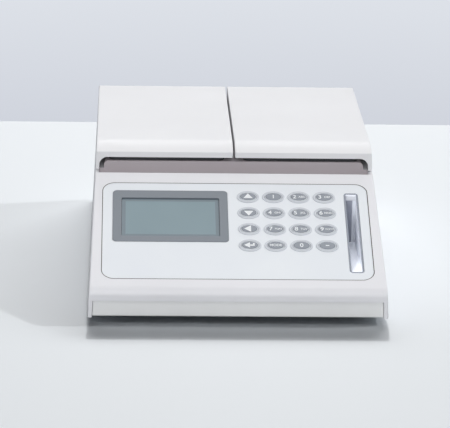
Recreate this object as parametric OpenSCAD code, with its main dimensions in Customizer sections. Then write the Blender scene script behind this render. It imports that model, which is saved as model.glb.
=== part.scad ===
/* [Body] */
// Width of the housing at its lower edge
body_w = 210; // [190:1:240]
// Length of the housing from the nose to the back
body_l = 292; // [270:1:330]
// Height over the closed lids
body_h = 95; // [90:0.5:110]
// Height of the lower edge above the table
foot_h = 4.5; // [3:0.5:8]
// Wall thickness of the moulded covers
wall = 3; // [2.5:0.1:3.5]
// Inward lean of each side wall per millimetre of height
draft = 0.05; // [0.02:0.01:0.07]
// Height where the panel's slope meets the front face
nose_h = 24.57; // [23:0.01:28]
// Distance from the body centre forward to the panel's rear edge
panel_back = 35.3; // [33:0.1:40]
// Radius of the rounded nose under the panel
nose_r = 7.5; // [5:0.5:9]
// Height of the nose's lower lip
lip_h = 16.8; // [15:0.1:19]

/* [Lids] */
// Height of the closed lids above the deck
lid_h = 18.1; // [16:0.1:21]
// Distance from the body centre forward to the lids' front face
lid_front = 28.4; // [26:0.1:30]
// Height of the lid front's lower edge above the deck
lid_lip_rise = 9.5; // [8:0.1:11]
// Drop of the rolled lid front below the lid top
roll_drop = 4.4; // [3:0.1:5]
// Length of the roll-over at the lid front
roll_l = 20; // [14:0.5:30]
// Gap between the two lids
lid_gap = 1.4; // [1:0.1:3]
// Radius of the handhold's outer corners
handhold_r = 6; // [4:0.5:7]
// Radius of the hinge knuckles
knuckle_r = 3.5; // [3.2:0.1:4]
// Radius of the hinge pins
pin_r = 1.5; // [1:0.1:1.8]
// Length of one lid knuckle
knuckle_l = 12; // [8:1:16]

/* [Heated bays] */
// Height of the raised rim round the bays above the deck
plinth_rise = 5.6; // [4.5:0.1:6.5]
// Distance from the deck's side edge to the raised rim
plinth_inset = 6.5; // [5:0.1:10]
// Distance from a heat block to the raised rim's side
bay_margin = 7.9; // [7:0.1:10]
// Distance between the two heat blocks
bay_web = 22; // [20:0.5:28]
// Height of one heat block
block_h = 22; // [20:0.5:24]
// Tube pockets in each block
pockets = 5; // [4:1:5]
// Distance between two pockets
pocket_pitch = 23; // [19:0.5:24]
// Length of a pocket, which holds two tubes side by side
pocket_l = 34; // [28:1:40]
// Width of a pocket
pocket_w = 10; // [8:0.5:11]
// Depth of a pocket
pocket_d = 15; // [10:0.5:16]

/* [Control panel] */
// Distance from the housing's lower side edge to the panel overlay
overlay_margin = 9.65; // [8:0.05:13]
// Distance from the overlay to the panel's front edge
overlay_front = 11.9; // [9:0.1:14]
// Corner radius of the panel overlay
overlay_r = 9; // [4:0.5:12]
// Distance from the panel's rear edge to the overlay
overlay_t = 11.65; // [10:0.05:12.5]
// Width of the display frame
frame_w = 82.4; // [80:0.1:84]
// Length of the display frame
frame_l = 53.5; // [50:0.1:56]
// Width of the display window
window_w = 70; // [66:0.1:72]
// Length of the display window
window_l = 40; // [36:0.1:42]
// Distance between two key columns
key_pitch_x = 18.3; // [17.8:0.05:18.8]
// Distance between two key rows
key_pitch_y = 16.9; // [16:0.05:17.4]
// Length of a key cap
key_l = 12.4; // [11:0.1:12.8]
// Width of a key cap
key_w = 8.6; // [8:0.1:9]
// Width of the raised collar round each key
collar = 1.7; // [1:0.1:2]
// Height of the key collars above the panel
collar_h = 0.5; // [0.2:0.1:1]
// Travel of a key
key_travel = 0.5; // [0.3:0.1:0.8]
// Distance from the overlay's upper edge to the open trough beside the keys
trough_upper = 10.55; // [8:0.05:18]
// Distance from the trough to the overlay's lower edge
trough_lower = 8.35; // [7:0.05:14]
// Width of the open trough
trough_w = 7.6; // [7:0.1:8]
// Length of the shallow ledge at the trough's upper end
trough_ledge = 4.5; // [2:0.5:8]

/* [Hidden] */
$fn = 48;

white = [0.90, 0.90, 0.91];
pale = [0.89, 0.91, 0.93];
mid_grey = [0.54, 0.56, 0.59];
dark_grey = [0.30, 0.31, 0.33];
lcd_green = [0.60, 0.68, 0.68];
metal = [0.75, 0.76, 0.78];
board_green = [0.10, 0.35, 0.22];
black = [0.08, 0.08, 0.09];

// Clearances between pieces
fit_gap = 0.3;
seat_gap = 0.4;
slide_gap = 0.25;
run_gap = 0.06;

// Side view of the housing: y runs back and z up
front_y = -body_l / 2;
back_y = body_l / 2;
panel_y = -panel_back;
lid_y = -lid_front;
deck_h = body_h - lid_h;
slope_t = (deck_h - nose_h) / (panel_y - front_y);
panel_slope = atan(slope_t);
panel_l = (panel_y - front_y) / cos(panel_slope);
nose_turn = 90 - panel_slope;
nose_cut = nose_r * tan(nose_turn / 2);
back_chamfer = 2;
channel_z = deck_h - 9;
plinth_h = deck_h + plinth_rise;
plinth_w = 2 * (half_w(deck_h) - plinth_inset);
plinth_y0 = lid_y + wall + 1.4;
plinth_y1 = back_y - 14;

// Hinge axis of the lids
lid_low = deck_h + seat_gap;
lid_lip_h = deck_h + lid_lip_rise;
hinge_y = back_y - knuckle_r;
hinge_z = lid_low + knuckle_r;

// Heated bays
block_w = plinth_w / 2 - bay_margin - bay_web / 2;
block_l = (pockets - 1) * pocket_pitch + pocket_w + 20;
bay_x = (block_w + bay_web) / 2;
bay_y = plinth_y0 + 6 + block_l / 2;
block_top = plinth_h - 2;
block_z = block_top - block_h;
heater_t = 1;
foam_t = 12;
foam_wrap = 6;

// Base tray
tray_t = 2.5;
floor_z = foot_h + tray_t;
tray_gap = 0.25;
tray_h = 16;
foot_r = 8;
foot_seat = 1;
post_r = 3.5;
screw_r = 1.5;
board_z = floor_z + 9;
board_t = 1.6;
board_l = 118;
board_w = 150;
board_y1 = back_y - 10.5;
board_y = board_y1 - board_l / 2;

// Rear panel and its connectors
rear_y = back_y - 9;
rear_t = 1.5;
rear_w = 148;
rear_h = 40;
port_w = 140;
port_z0 = 14;
port_z1 = 44;
port_z = (port_z0 + port_z1) / 2;

// Control panel
overlay_thick = 0.8;
overlay_w = body_w - 2 * overlay_margin;
overlay_l = panel_l - overlay_t - overlay_front;
keys_w = 3 * key_pitch_x + key_l;
column_gap = (overlay_w - frame_w - keys_w - trough_w) / 4;
frame_x = (frame_w - overlay_w) / 2 + column_gap - 1;
frame_t = 46.25;
frame_proud = 0.3;
frame_depth = 4;
window_x = frame_x + 0.05;
window_t = frame_t + 1;
key_x0 = frame_x + frame_w / 2 + column_gap + 0.3 + key_l / 2;
key_t0 = 25.7;
trough_x = (overlay_w - trough_w) / 2 - column_gap + 0.45;
trough_l = overlay_l - trough_upper - trough_lower;
trough_t = overlay_t + trough_upper + trough_l / 2;
trough_rim = 1.2;
trough_wall = 1.2;
trough_ledge_d = 1.6;
trough_t0 = trough_t - trough_l / 2;
trough_t1 = trough_t + trough_l / 2;
trough_floor = panel_yz(trough_t1, -overlay_thick)[1];
trough_back_y = panel_yz(trough_t0 + trough_ledge, -trough_ledge_d)[0];
board_drop = 6;
key_board_w = keys_w + 2;
key_board_l = 3 * key_pitch_y + key_w + 14;
module_w = frame_w - 2;
module_l = frame_l + 4;
module_t = 5;

// Side-view place of a panel point: t down the slope, n out of the panel
function panel_yz(t, n) =
    [panel_y - t * cos(panel_slope) - n * sin(panel_slope),
     deck_h - t * sin(panel_slope) + n * cos(panel_slope)];

function half_w(z) = body_w / 2 - draft * (z - foot_h);

// Points of an arc about c, from angle a0 to a1
function arc(c, r, a0, a1, n = 8) =
    [for (i = [0:n]) [c[0] + r * cos(a0 + (a1 - a0) * i / n), c[1] + r * sin(a0 + (a1 - a0) * i / n)]];

// Extrudes a (y, z) outline over the width w, centred on x
module across(w, x = 0)
    translate([x, 0, 0]) rotate([90, 0, 90]) linear_extrude(w, center = true) children();

// Places children on the panel: x across, y up the slope, z out of the panel
module on_panel()
    translate([0, panel_y, deck_h]) rotate([panel_slope, 0, 0]) children();

module at_panel(x, t) on_panel() translate([x, -t, 0]) children();

module stadium(l, w) {
    square([l - w, w], center = true);
    for (s = [-1, 1]) translate([s * (l - w) / 2, 0]) circle(d = w);
}

// Oval key outline
oval_points = 28;
module oval(l, w)
    polygon([for (i = [1:oval_points])
        [l / 2 * cos(i * 360 / oval_points), w / 2 * sin(i * 360 / oval_points)]]);

module round_rect(w, l, r) {
    square([w, l - 2 * r], center = true);
    square([w - 2 * r, l], center = true);
    for (x = [-1, 1], y = [-1, 1]) translate([x * (w / 2 - r), y * (l / 2 - r)]) circle(r);
}

module block(x, y, z) translate([x[0], y[0], z[0]]) cube([x[1] - x[0], y[1] - y[0], z[1] - z[0]]);

// Front view of the housing, narrowed by inset, from z0 to z1, over its whole length
module side_limits(inset, z0, z1)
    rotate([90, 0, 0]) linear_extrude(body_l + 40, center = true)
        polygon([[-half_w(z0) + inset, z0], [half_w(z0) - inset, z0],
                 [half_w(z1) - inset, z1], [-half_w(z1) + inset, z1]]);

// Outline of the housing in side view, with the rounded nose
module housing_outline() {
    nose_c = [front_y + nose_r, nose_h - nose_cut];
    polygon(concat(
        [[back_y, foot_h], [front_y, foot_h]],
        arc(nose_c, nose_r, 180, 180 - nose_turn, 12),
        [[panel_y, deck_h], [back_y - back_chamfer, deck_h], [back_y, deck_h - back_chamfer]]));
}

// Hollow of the housing in side view, with the step under the finger channel
module hollow_outline() {
    drop = wall / cos(panel_slope);
    wall_y = front_y + wall;
    polygon([[wall_y, 0], [wall_y, nose_h + wall * slope_t - drop],
             [panel_y - wall, deck_h - wall * slope_t - drop], [panel_y - wall, channel_z - wall],
             [plinth_y0 + wall, channel_z - wall], [plinth_y0 + wall, deck_h - wall],
             [back_y - wall, deck_h - wall], [back_y - wall, 0]]);
}

// Recess below the nose, between the two cheeks
module nose_recess() {
    y1 = front_y + wall + 0.01;
    polygon([[front_y - 1, 0], [front_y - 1, lip_h], [y1, lip_h], [y1, 0]]);
}

module top_cover() color(white) {
    difference() {
        union() {
            difference() {
                intersection() {
                    across(body_w + 10) housing_outline();
                    side_limits(0, foot_h, deck_h);
                }
                intersection() {
                    across(body_w + 10) hollow_outline();
                    side_limits(wall, 0, deck_h);
                }
                intersection() {
                    across(body_w + 10) nose_recess();
                    side_limits(wall, 0, deck_h);
                }
                finger_channel();
            }
            plinth();
            hinge_lugs();
            cover_bosses();
            port_surround();
            panel_posts();
        }
        plinth_hollow();
        bay_openings();
        overlay_recess();
        port_cutout();
        for (s = [-1, 1]) hinge_bore(s);
    }
}

module finger_channel() {
    w = half_w(deck_h) - wall;
    block([-w, w], [panel_y, plinth_y0], [channel_z, deck_h + 1]);
}

// Raised rim round the two bays, with rounded upper side edges
module plinth() {
    r = 3;
    w = plinth_w / 2;
    translate([0, (plinth_y0 + plinth_y1) / 2, 0]) rotate([90, 0, 0])
        linear_extrude(plinth_y1 - plinth_y0, center = true)
            polygon(concat([[w, deck_h - wall]], arc([w - r, plinth_h - r], r, 0, 90),
                           arc([r - w, plinth_h - r], r, 90, 180), [[-w, deck_h - wall]]));
}

// Space under the raised rim
module plinth_hollow() {
    w = plinth_w / 2 - wall;
    block([-w, w], [plinth_y0 + wall, plinth_y1 - wall], [deck_h - wall - 1, plinth_h - wall]);
}

module bay_openings() {
    for (s = [-1, 1])
        translate([s * bay_x, bay_y, deck_h])
            linear_extrude(4 * wall, center = true)
                round_rect(block_w + 2, block_l + 2, 3);
}

// Lugs of the cover between the knuckles of each lid
lid_inner_x = lid_gap / 2;
lug_margin = 13.4;
lug_x = [for (s = [-1, 1], x = [12, half_w(deck_h) - lug_margin]) s * x];
bore_l = half_w(deck_h) - 7.4;
lug_l = 8;
module hinge_lugs() {
    for (x = lug_x)
        across(lug_l, x)
            polygon(concat([[hinge_y - knuckle_r, deck_h - wall / 2]],
                           [[hinge_y + knuckle_r, deck_h - back_chamfer - 0.2]],
                           arc([hinge_y, hinge_z], knuckle_r, 0, 180)));
}

module hinge_bore(s) {
    translate([s * half_w(deck_h) / 2, hinge_y, hinge_z]) rotate([0, 90, 0])
        cylinder(r = pin_r, h = bore_l, center = true);
}

// Screw columns that hold the cover to the tray
cover_post_x = half_w(deck_h) - wall - post_r - 1;
front_post_y = front_y + 22;
back_post_y = back_y - 14;
module cover_bosses() {
    for (s = [-1, 1], y = [front_post_y, back_post_y]) {
        top = min(deck_h, deck_h + (y - panel_y) * slope_t) - wall / 2;
        translate([s * cover_post_x, y, floor_z + fit_gap]) difference() {
            cylinder(r = post_r, h = top - floor_z - fit_gap);
            translate([0, 0, -1]) cylinder(r = screw_r, h = 9);
        }
    }
}

// Short posts under the panel that carry the key board and the display module
module panel_posts() {
    for (x = [-1, 1], y = [-1, 1]) {
        at_panel(key_mid_x, key_mid_t)
            translate([x * (key_board_w / 2 - 2), y * (key_board_l / 2 - 2), -board_drop])
                cylinder(r = 1.8, h = board_drop - wall / 2);
        at_panel(window_x, window_t)
            translate([x * (module_w / 2 - 2), y * (module_l / 2 - 2), -frame_depth - module_t])
                cylinder(r = 1.8, h = frame_depth + module_t - wall / 2);
    }
}

module port_surround() {
    difference() {
        block([-port_w / 2 - 2, port_w / 2 + 2], [rear_y + 0.3, back_y - wall / 2],
              [port_z0 - 2, port_z1 + 2]);
        block([-port_w / 2, port_w / 2], [rear_y, back_y], [port_z0, port_z1]);
    }
}

module port_cutout()
    block([-port_w / 2, port_w / 2], [rear_y, back_y + 1], [port_z0, port_z1]);

// Shallow recess for the overlay, with its openings down into the housing
module overlay_recess() {
    at_panel(0, overlay_t + overlay_l / 2) translate([0, 0, -overlay_thick])
        linear_extrude(5) round_rect(overlay_w + 2 * seat_gap, overlay_l + 2 * seat_gap, overlay_r);
    at_panel(frame_x, frame_t) linear_extrude(30, center = true)
        square([frame_w - 4, frame_l - 4], center = true);
    each_key() linear_extrude(12, center = true) oval(key_l + 2 * slide_gap, key_w + 2 * slide_gap);
    at_panel(trough_x, trough_t) linear_extrude(30, center = true)
        square([trough_w + 2 * trough_wall + 2 * fit_gap, trough_l + 2 * trough_wall + 2 * fit_gap],
               center = true);
}

module each_key() for (i = [0:15]) at_key(i) children();

module at_key(i)
    at_panel(key_x0 + (i % 4) * key_pitch_x, key_t0 + floor(i / 4) * key_pitch_y) children();

// Printed panel skin: window, trough opening and a raised collar round each key
module panel_overlay() color(pale) {
    h = overlay_thick - 0.05;
    difference() {
        union() {
            at_panel(0, overlay_t + overlay_l / 2) translate([0, 0, -h]) linear_extrude(h)
                round_rect(overlay_w, overlay_l, overlay_r - seat_gap);
            each_key() translate([0, 0, -h]) linear_extrude(h + collar_h)
                oval(key_l + 2 * slide_gap + 2 * collar, key_w + 2 * slide_gap + 2 * collar);
        }
        each_key() linear_extrude(4, center = true)
            oval(key_l + 2 * slide_gap, key_w + 2 * slide_gap);
        at_panel(frame_x, frame_t) linear_extrude(4, center = true)
            round_rect(frame_w + 0.4, frame_l + 0.4, 3);
        at_panel(trough_x, trough_t) linear_extrude(4, center = true)
            round_rect(trough_w + 2 * trough_rim + 0.4, trough_l + 2 * trough_rim + 0.4, 2);
    }
}

module display_frame() color(mid_grey) {
    at_panel(frame_x, frame_t) difference() {
        union() {
            translate([0, 0, -overlay_thick + 0.05])
                linear_extrude(overlay_thick + frame_proud - 0.05) round_rect(frame_w, frame_l, 3);
            translate([0, 0, -frame_depth]) linear_extrude(frame_depth)
                square([frame_w - 4.6, frame_l - 4.6], center = true);
        }
        translate([window_x - frame_x, frame_t - window_t, -8]) linear_extrude(16)
            round_rect(window_w, window_l, 1);
        translate([window_x - frame_x, frame_t - window_t, -frame_depth - 1])
            linear_extrude(2.5) square([window_w + 3, window_l + 3], center = true);
    }
}

module display_lens() color(lcd_green)
    at_panel(window_x, window_t) translate([0, 0, -frame_depth])
        linear_extrude(1.4) square([window_w + 2.4, window_l + 2.4], center = true);

// Display module: metal frame with its circuit board behind
module display_module() color(board_green)
    at_panel(window_x, window_t) {
        translate([0, 0, -frame_depth - module_t]) linear_extrude(module_t - 0.1)
            square([frame_w - 5, window_l + 7], center = true);
        translate([0, 0, -frame_depth - module_t - board_t]) linear_extrude(board_t)
            square([module_w, module_l], center = true);
    }

key_mid_x = key_x0 + 1.5 * key_pitch_x;
key_mid_t = key_t0 + 1.5 * key_pitch_y;
module key_board() color(board_green)
    at_panel(key_mid_x, key_mid_t) translate([0, 0, -board_drop - board_t]) linear_extrude(board_t)
        square([key_board_w, key_board_l], center = true);

// Snap domes, one under each key
dome_h = 1.2;
module key_domes() color(metal)
    each_key() translate([0, 0, -board_drop]) cylinder(r1 = 3, r2 = 1.5, h = dome_h);

// Key cap with the flange that holds it under the cover
key_flange = 0.9;
module key_cap() color(dark_grey) {
    top = collar_h;
    flange_z = -wall - key_flange - 0.05;
    translate([0, 0, flange_z]) linear_extrude(top - flange_z) oval(key_l, key_w);
    translate([0, 0, flange_z]) linear_extrude(key_flange) oval(key_l + 2, key_w + 2);
    translate([0, 0, -board_drop + dome_h + key_travel + 0.05])
        cylinder(r = 1.5, h = board_drop - dome_h - key_travel - wall);
}

module key_up() at_key(0) key_cap();
module key_1() at_key(1) key_cap();
module key_2() at_key(2) key_cap();
module key_3() at_key(3) key_cap();
module key_down() at_key(4) key_cap();
module key_4() at_key(5) key_cap();
module key_5() at_key(6) key_cap();
module key_6() at_key(7) key_cap();
module key_left() at_key(8) key_cap();
module key_7() at_key(9) key_cap();
module key_8() at_key(10) key_cap();
module key_9() at_key(11) key_cap();
module key_enter() at_key(12) key_cap();
module key_mode() at_key(13) key_cap();
module key_0() at_key(14) key_cap();
module key_dash() at_key(15) key_cap();

// Narrow pocket in the panel: level floor, upright back wall and a shallow ledge at its upper end
module trough_insert() color(mid_grey) {
    rim_h = 0.2;
    body_top = overlay_thick - 0.05;
    difference() {
        union() {
            at_panel(trough_x, trough_t) translate([0, 0, -body_top - fit_gap])
                linear_extrude(body_top + fit_gap + rim_h)
                    round_rect(trough_w + 2 * trough_rim, trough_l + 2 * trough_rim, 2);
            across(trough_w + 2 * trough_wall, trough_x) polygon([
                panel_yz(trough_t1 + trough_wall, -body_top), panel_yz(trough_t0 - trough_wall, -body_top),
                panel_yz(trough_t0 - trough_wall, -trough_ledge_d - trough_wall),
                [trough_back_y + trough_wall,
                 panel_yz(trough_t0 + trough_ledge, -trough_ledge_d - trough_wall)[1]],
                [trough_back_y + trough_wall, trough_floor - trough_wall],
                [panel_yz(trough_t1 + trough_wall, -body_top)[0], trough_floor - trough_wall]]);
        }
        across(trough_w, trough_x) polygon([
            [panel_yz(trough_t1, 0)[0], trough_floor], panel_yz(trough_t1, 3), panel_yz(trough_t0, 3),
            panel_yz(trough_t0, -trough_ledge_d),
            [trough_back_y, panel_yz(trough_t0 + trough_ledge, -trough_ledge_d)[1]],
            [trough_back_y, trough_floor]]);
    }
}

// Base tray: visible front face, low side walls, standoffs and foot seats
tray_x = half_w(lip_h) - wall - tray_gap;
module base_tray() color(white) {
    y0 = front_y + wall + 0.1;
    y1 = back_y - wall - fit_gap;
    difference() {
        intersection() {
            side_limits(wall + tray_gap, foot_h, deck_h);
            block([-body_w / 2, body_w / 2], [y0, y1], [foot_h, tray_h]);
        }
        block([-tray_x + tray_t, tray_x - tray_t], [y0 + tray_t, y1 - tray_t], [floor_z, tray_h + 1]);
        block([-rear_w / 2 - fit_gap, rear_w / 2 + fit_gap], [y1 - 20, y1 + 1], [floor_z, tray_h + 1]);
        for (p = foot_points) translate([p[0], p[1], foot_h - 1])
            cylinder(r = foot_r + 0.2, h = 1 + foot_seat);
        for (s = [-1, 1], y = [front_post_y, back_post_y]) translate([s * cover_post_x, y, 0]) {
            cylinder(r = screw_r + 0.3, h = 20);
            cylinder(r = 3.2, h = foot_h + 1.3);
        }
    }
    intersection() {
        side_limits(wall + tray_gap, foot_h, deck_h);
        block([-body_w / 2, body_w / 2], [y0, y0 + tray_t], [tray_h - 1, lip_h + 3]);
    }
    for (p = board_points) translate([p[0], p[1], floor_z - 0.5]) difference() {
        cylinder(r = post_r, h = board_z - floor_z + 0.5);
        translate([0, 0, 2]) cylinder(r = screw_r, h = 20);
    }
}

foot_points = [for (x = [-1, 1], y = [front_y + 30, back_y - 34]) [x * (body_w / 2 - 25), y]];
board_points = [for (x = [-1, 1], y = [-1, 1])
    [x * (board_w / 2 - 5), board_y + y * (board_l / 2 - 5)]];

module rubber_feet() color(black)
    for (p = foot_points) translate([p[0], p[1], 0]) {
        cylinder(r1 = foot_r - 1, r2 = foot_r, h = 1);
        translate([0, 0, 1]) cylinder(r = foot_r, h = foot_h + foot_seat - 1);
    }

module case_screws() color(metal)
    for (s = [-1, 1], y = [front_post_y, back_post_y]) translate([s * cover_post_x, y, foot_h]) {
        cylinder(r = 2.8, h = 1.3);
        cylinder(r = screw_r, h = tray_t + fit_gap + 7);
    }

// Main circuit board with its larger parts
board_room = block_z - heater_t - foam_t - board_z - board_t;
chip_w = 24;
memory_l = 18;
coil_l = 20;
can_r = 5;
can_pitch = 15;
module main_board() color(board_green) {
    difference() {
        union() {
            block([-board_w / 2, board_w / 2], [board_y1 - board_l, board_y1],
                  [board_z, board_z + board_t]);
            translate([0, board_y, board_z + board_t - 0.1]) {
                translate([4 - chip_w, -chip_w / 2, 0]) cube([chip_w, chip_w, 2.5]);
                translate([chip_w, -chip_w, 0]) cube([memory_l - 6, memory_l, 2]);
                translate([-32 - coil_l, 5, 0]) cube([coil_l - 4, coil_l, board_room / 2]);
                for (i = [0:2]) translate([48, -26 + i * can_pitch, 0])
                    cylinder(r = can_r, h = 0.43 * board_room);
            }
        }
        for (p = board_points) translate([p[0], p[1], board_z - 1]) cylinder(r = screw_r + 0.2, h = 5);
        for (x = [-1, 1])
            translate([x * (bay_x - block_w / 2 + 6), bay_y + block_l / 2 - 9, board_z - 1])
                cylinder(r = post_r + 1, h = 5);
    }
}

module board_screws() color(metal)
    for (p = board_points) translate([p[0], p[1], board_z - 5]) {
        cylinder(r = screw_r, h = 5 + board_t);
        translate([0, 0, 5 + board_t]) cylinder(r = 2.8, h = 1.6);
    }

module buzzer() color(black)
    translate([-58, board_y - 30, board_z + board_t]) difference() {
        cylinder(r = 6, h = 7);
        translate([0, 0, 5]) cylinder(r = 1.2, h = 3);
    }

// Steel panel that carries the switch and the sockets
switch_x = 50;
jack_x = 24;
usb_x = 0;
serial_x = -38;
module rear_panel() color(metal)
    difference() {
        block([-rear_w / 2, rear_w / 2], [rear_y - rear_t, rear_y], [floor_z, floor_z + rear_h]);
        port_hole(switch_x) square([19.4, 12.9], center = true);
        port_hole(jack_x) circle(5.6);
        port_hole(usb_x) square([12.3, 11.1], center = true);
        port_hole(serial_x) square([19.6, 10.6], center = true);
    }

module port_hole(x)
    translate([x, rear_y - rear_t / 2, port_z]) rotate([90, 0, 0])
        linear_extrude(3 * rear_t, center = true) children();

// Shapes on the rear panel: x to the right seen from the front, z up, out along +Y
module behind(x, y0, y1)
    translate([x, y1, port_z]) rotate([90, 0, 0]) linear_extrude(y1 - y0) children();

rocker_r = 9.2;
rocker_y = rear_y - 3.4;
module power_switch() color(black) difference() {
    union() {
        behind(switch_x, rear_y + 0.02, rear_y + 1.8) round_rect(21, 15, 1);
        behind(switch_x, rear_y - 14, rear_y + 0.5) square([19.2, 12.7], center = true);
    }
    behind(switch_x, rear_y - 10.5, rear_y + 3) square([17, 10.6], center = true);
    translate([switch_x, rocker_y - 4, port_z]) cylinder(r = 1, h = 12.2, center = true);
}

// Rocker: two paddles about a cross pin, shown with its right side pressed
rocker_tilt = 9;
module power_rocker() color(black)
    translate([switch_x, rocker_y - 4, port_z]) rotate([0, 0, -rocker_tilt]) {
        linear_extrude(10, center = true)
            polygon([[-7.2, 7.2], [-7.2, 3], [-3, -2.2], [3, -2.2], [7.2, 3], [7.2, 7.2],
                     [4, 6.4], [0, 6.1], [-4, 6.4]]);
        cylinder(r = 0.94, h = 11.8, center = true);
    }

module dc_jack() color(black) {
    difference() {
        union() {
            behind(jack_x, rear_y + 0.02, rear_y + 2) circle(7);
            behind(jack_x, rear_y - 13, rear_y + 0.5) circle(5.5);
        }
        behind(jack_x, rear_y - 9, rear_y + 3) circle(2.85);
    }
    behind(jack_x, rear_y - 10, rear_y + 1) circle(1.05);
}

// Nine-pin socket: flange, D-shaped shell, insert with pins and two jack screws
module serial_port() color(metal) {
    difference() {
        union() {
            behind(serial_x, rear_y + 0.02, rear_y + 1) round_rect(30.8, 12.5, 2);
            behind(serial_x, rear_y - 12, rear_y + 0.5) square([19.2, 10.2], center = true);
            behind(serial_x, rear_y + 0.5, rear_y + 6.2) d_shell(0);
        }
        behind(serial_x, rear_y + 1.2, rear_y + 7) d_shell(0.6);
    }
    for (i = [0:4]) behind(serial_x + (i - 2) * 2.77, rear_y + 1, rear_y + 5.5)
        translate([0, 1.42]) circle(0.5);
    for (i = [0:3]) behind(serial_x + (i - 1.5) * 2.77, rear_y + 1, rear_y + 5.5)
        translate([0, -1.42]) circle(0.5);
    for (s = [-1, 1]) translate([serial_x + s * 12.5, rear_y + 0.9, port_z]) rotate([-90, 0, 0])
        difference() {
            cylinder(r = 2.6, h = 5, $fn = 6);
            translate([0, 0, 2]) cylinder(r = 1.2, h = 4);
        }
}

module d_shell(inset) {
    w = 8.9 - inset;
    h = 4.4 - inset;
    polygon([[-w, h], [w, h], [w - 1.5, -h], [1.5 - w, -h]]);
}

module usb_port() color(metal) {
    difference() {
        behind(usb_x, rear_y - 14, rear_y + 1) square([12, 10.8], center = true);
        behind(usb_x, rear_y - 8, rear_y + 2)
            polygon([[-4.2, -3.9], [4.2, -3.9], [4.2, 2.2], [2.5, 3.9], [-2.5, 3.9], [-4.2, 2.2]]);
    }
    behind(usb_x, rear_y - 9, rear_y - 1) square([5.6, 3.2], center = true);
}

// Heat block with one pocket per tube pair
module heat_block(s) color(metal)
    translate([s * bay_x, bay_y, block_z]) difference() {
        linear_extrude(block_h) round_rect(block_w, block_l, 2.5);
        for (i = [0:pockets - 1])
            translate([0, (i - (pockets - 1) / 2) * pocket_pitch, block_h - pocket_d])
                linear_extrude(pocket_d + 1) stadium(pocket_l, pocket_w);
    }
module left_block() heat_block(-1);
module right_block() heat_block(1);

module heater(s) color([0.75, 0.45, 0.2])
    translate([s * bay_x, bay_y, block_z - heater_t]) linear_extrude(heater_t)
        round_rect(block_w - 6, block_l - 6, 3);
module left_heater() heater(-1);
module right_heater() heater(1);

// Foam tray under the block and part of the way up its sides
module insulation(s) color(dark_grey)
    translate([s * bay_x, bay_y, block_z - heater_t - foam_t]) difference() {
        linear_extrude(foam_t + heater_t + foam_wrap) square([block_w + 6, block_l + 6], center = true);
        translate([0, 0, foam_t]) linear_extrude(foam_wrap + heater_t + 1)
            square([block_w + 0.4, block_l + 0.4], center = true);
    }
module left_insulation() insulation(-1);
module right_insulation() insulation(1);

module block_posts() color(white)
    for (s = [-1, 1], x = [-1, 1], y = [-1, 1])
        translate([s * bay_x + x * (block_w / 2 - 6), bay_y + y * (block_l / 2 - 9), floor_z])
            cylinder(r = post_r, h = block_z - heater_t - foam_t - floor_z);

// Sensor boards on both sides of a block, with a lamp or a detector at each pocket
module sensors(s) color(board_green)
    translate([s * bay_x, bay_y, block_z + foam_wrap + 0.1])
        for (x = [-1, 1]) {
            translate([x * (block_w / 2 + 3), 0, 0]) {
                translate([-0.8, -block_l / 2, 0]) cube([1.6, block_l, block_h - foam_wrap - 6]);
                for (i = [0:pockets - 1])
                    translate([-x * 0.7, (i - (pockets - 1) / 2) * pocket_pitch, 5])
                        rotate([0, -x * 90, 0]) cylinder(r = 2, h = 2);
            }
        }
module left_sensors() sensors(-1);
module right_sensors() sensors(1);

// Side view of a lid with its rolled front, from the full height of the side walls
roll_r = (roll_l * roll_l + roll_drop * roll_drop) / (2 * roll_drop);
roll_a = asin(roll_l / roll_r);
lid_back_r = 3;
module lid_outline()
    polygon(concat([[lid_y, lid_low]],
                   arc([lid_y + roll_l, body_h - roll_r], roll_r, 90 + roll_a, 90, 10),
                   arc([back_y - lid_back_r, body_h - lid_back_r], lid_back_r, 90, 0, 6),
                   arc([hinge_y, hinge_z], knuckle_r, 0, -90, 8)));

module lid_hollow_outline() {
    y0 = lid_y + wall;
    y1 = back_y - wall;
    polygon([[y0, lid_low - 5], [y0, body_h - roll_drop - wall + 0.2],
             [lid_y + roll_l, body_h - wall], [y1, body_h - wall], [y1, lid_low - 5]]);
}

// Handhold cut through the lid front, with a rounded outer corner
module handhold(s) {
    r = handhold_r;
    x1 = half_w(lid_low) - wall;
    translate([0, lid_y, 0]) rotate([90, 0, 0]) linear_extrude(2 * wall + 1, center = true)
        polygon(concat([[0, lid_low - 5], [0, lid_lip_h]],
                       [for (p = arc([x1 - r, lid_lip_h - r], r, 90, 0)) [s * p[0], p[1]]],
                       [[s * x1, lid_low - 5]]));
}

module lid(s) color(white) {
    inner_low = plinth_h + 0.6;
    x0 = lid_inner_x;
    difference() {
        union() {
            difference() {
                intersection() {
                    across(body_w + 10) lid_outline();
                    side_limits(0, foot_h, body_h + 1);
                    lid_side(s, x0);
                }
                intersection() {
                    across(body_w + 10) lid_hollow_outline();
                    side_limits(wall, 0, body_h + 1);
                    lid_side(s, x0 + wall);
                }
                handhold(s);
                lid_side_cut(s, x0, back_y + 1, inner_low);
                lid_side_cut(s, x0, lid_y + handhold_deep, lid_lip_h);
            }
            lid_knuckles(s);
        }
        for (x = lug_x) if (sign(x) == s)
            translate([x, hinge_y, hinge_z]) rotate([0, 90, 0])
                cylinder(r = knuckle_r + 0.5, h = lug_l + 1, center = true);
        for (x = lug_x) if (sign(x) == s)
            block([x - lug_l / 2 - 0.5, x + lug_l / 2 + 0.5], [hinge_y - knuckle_r - 1, back_y + 1],
                  [lid_low - 2, hinge_z + knuckle_r + 1.2]);
        translate([s * half_w(deck_h) / 2, hinge_y, hinge_z]) rotate([0, 90, 0])
            cylinder(r = pin_r + run_gap, h = body_w, center = true);
    }
}

module lid_side(s, x0)
    block(s > 0 ? [x0, body_w] : [-body_w, -x0], [-body_l, body_l], [0, 2 * body_h]);

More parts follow.
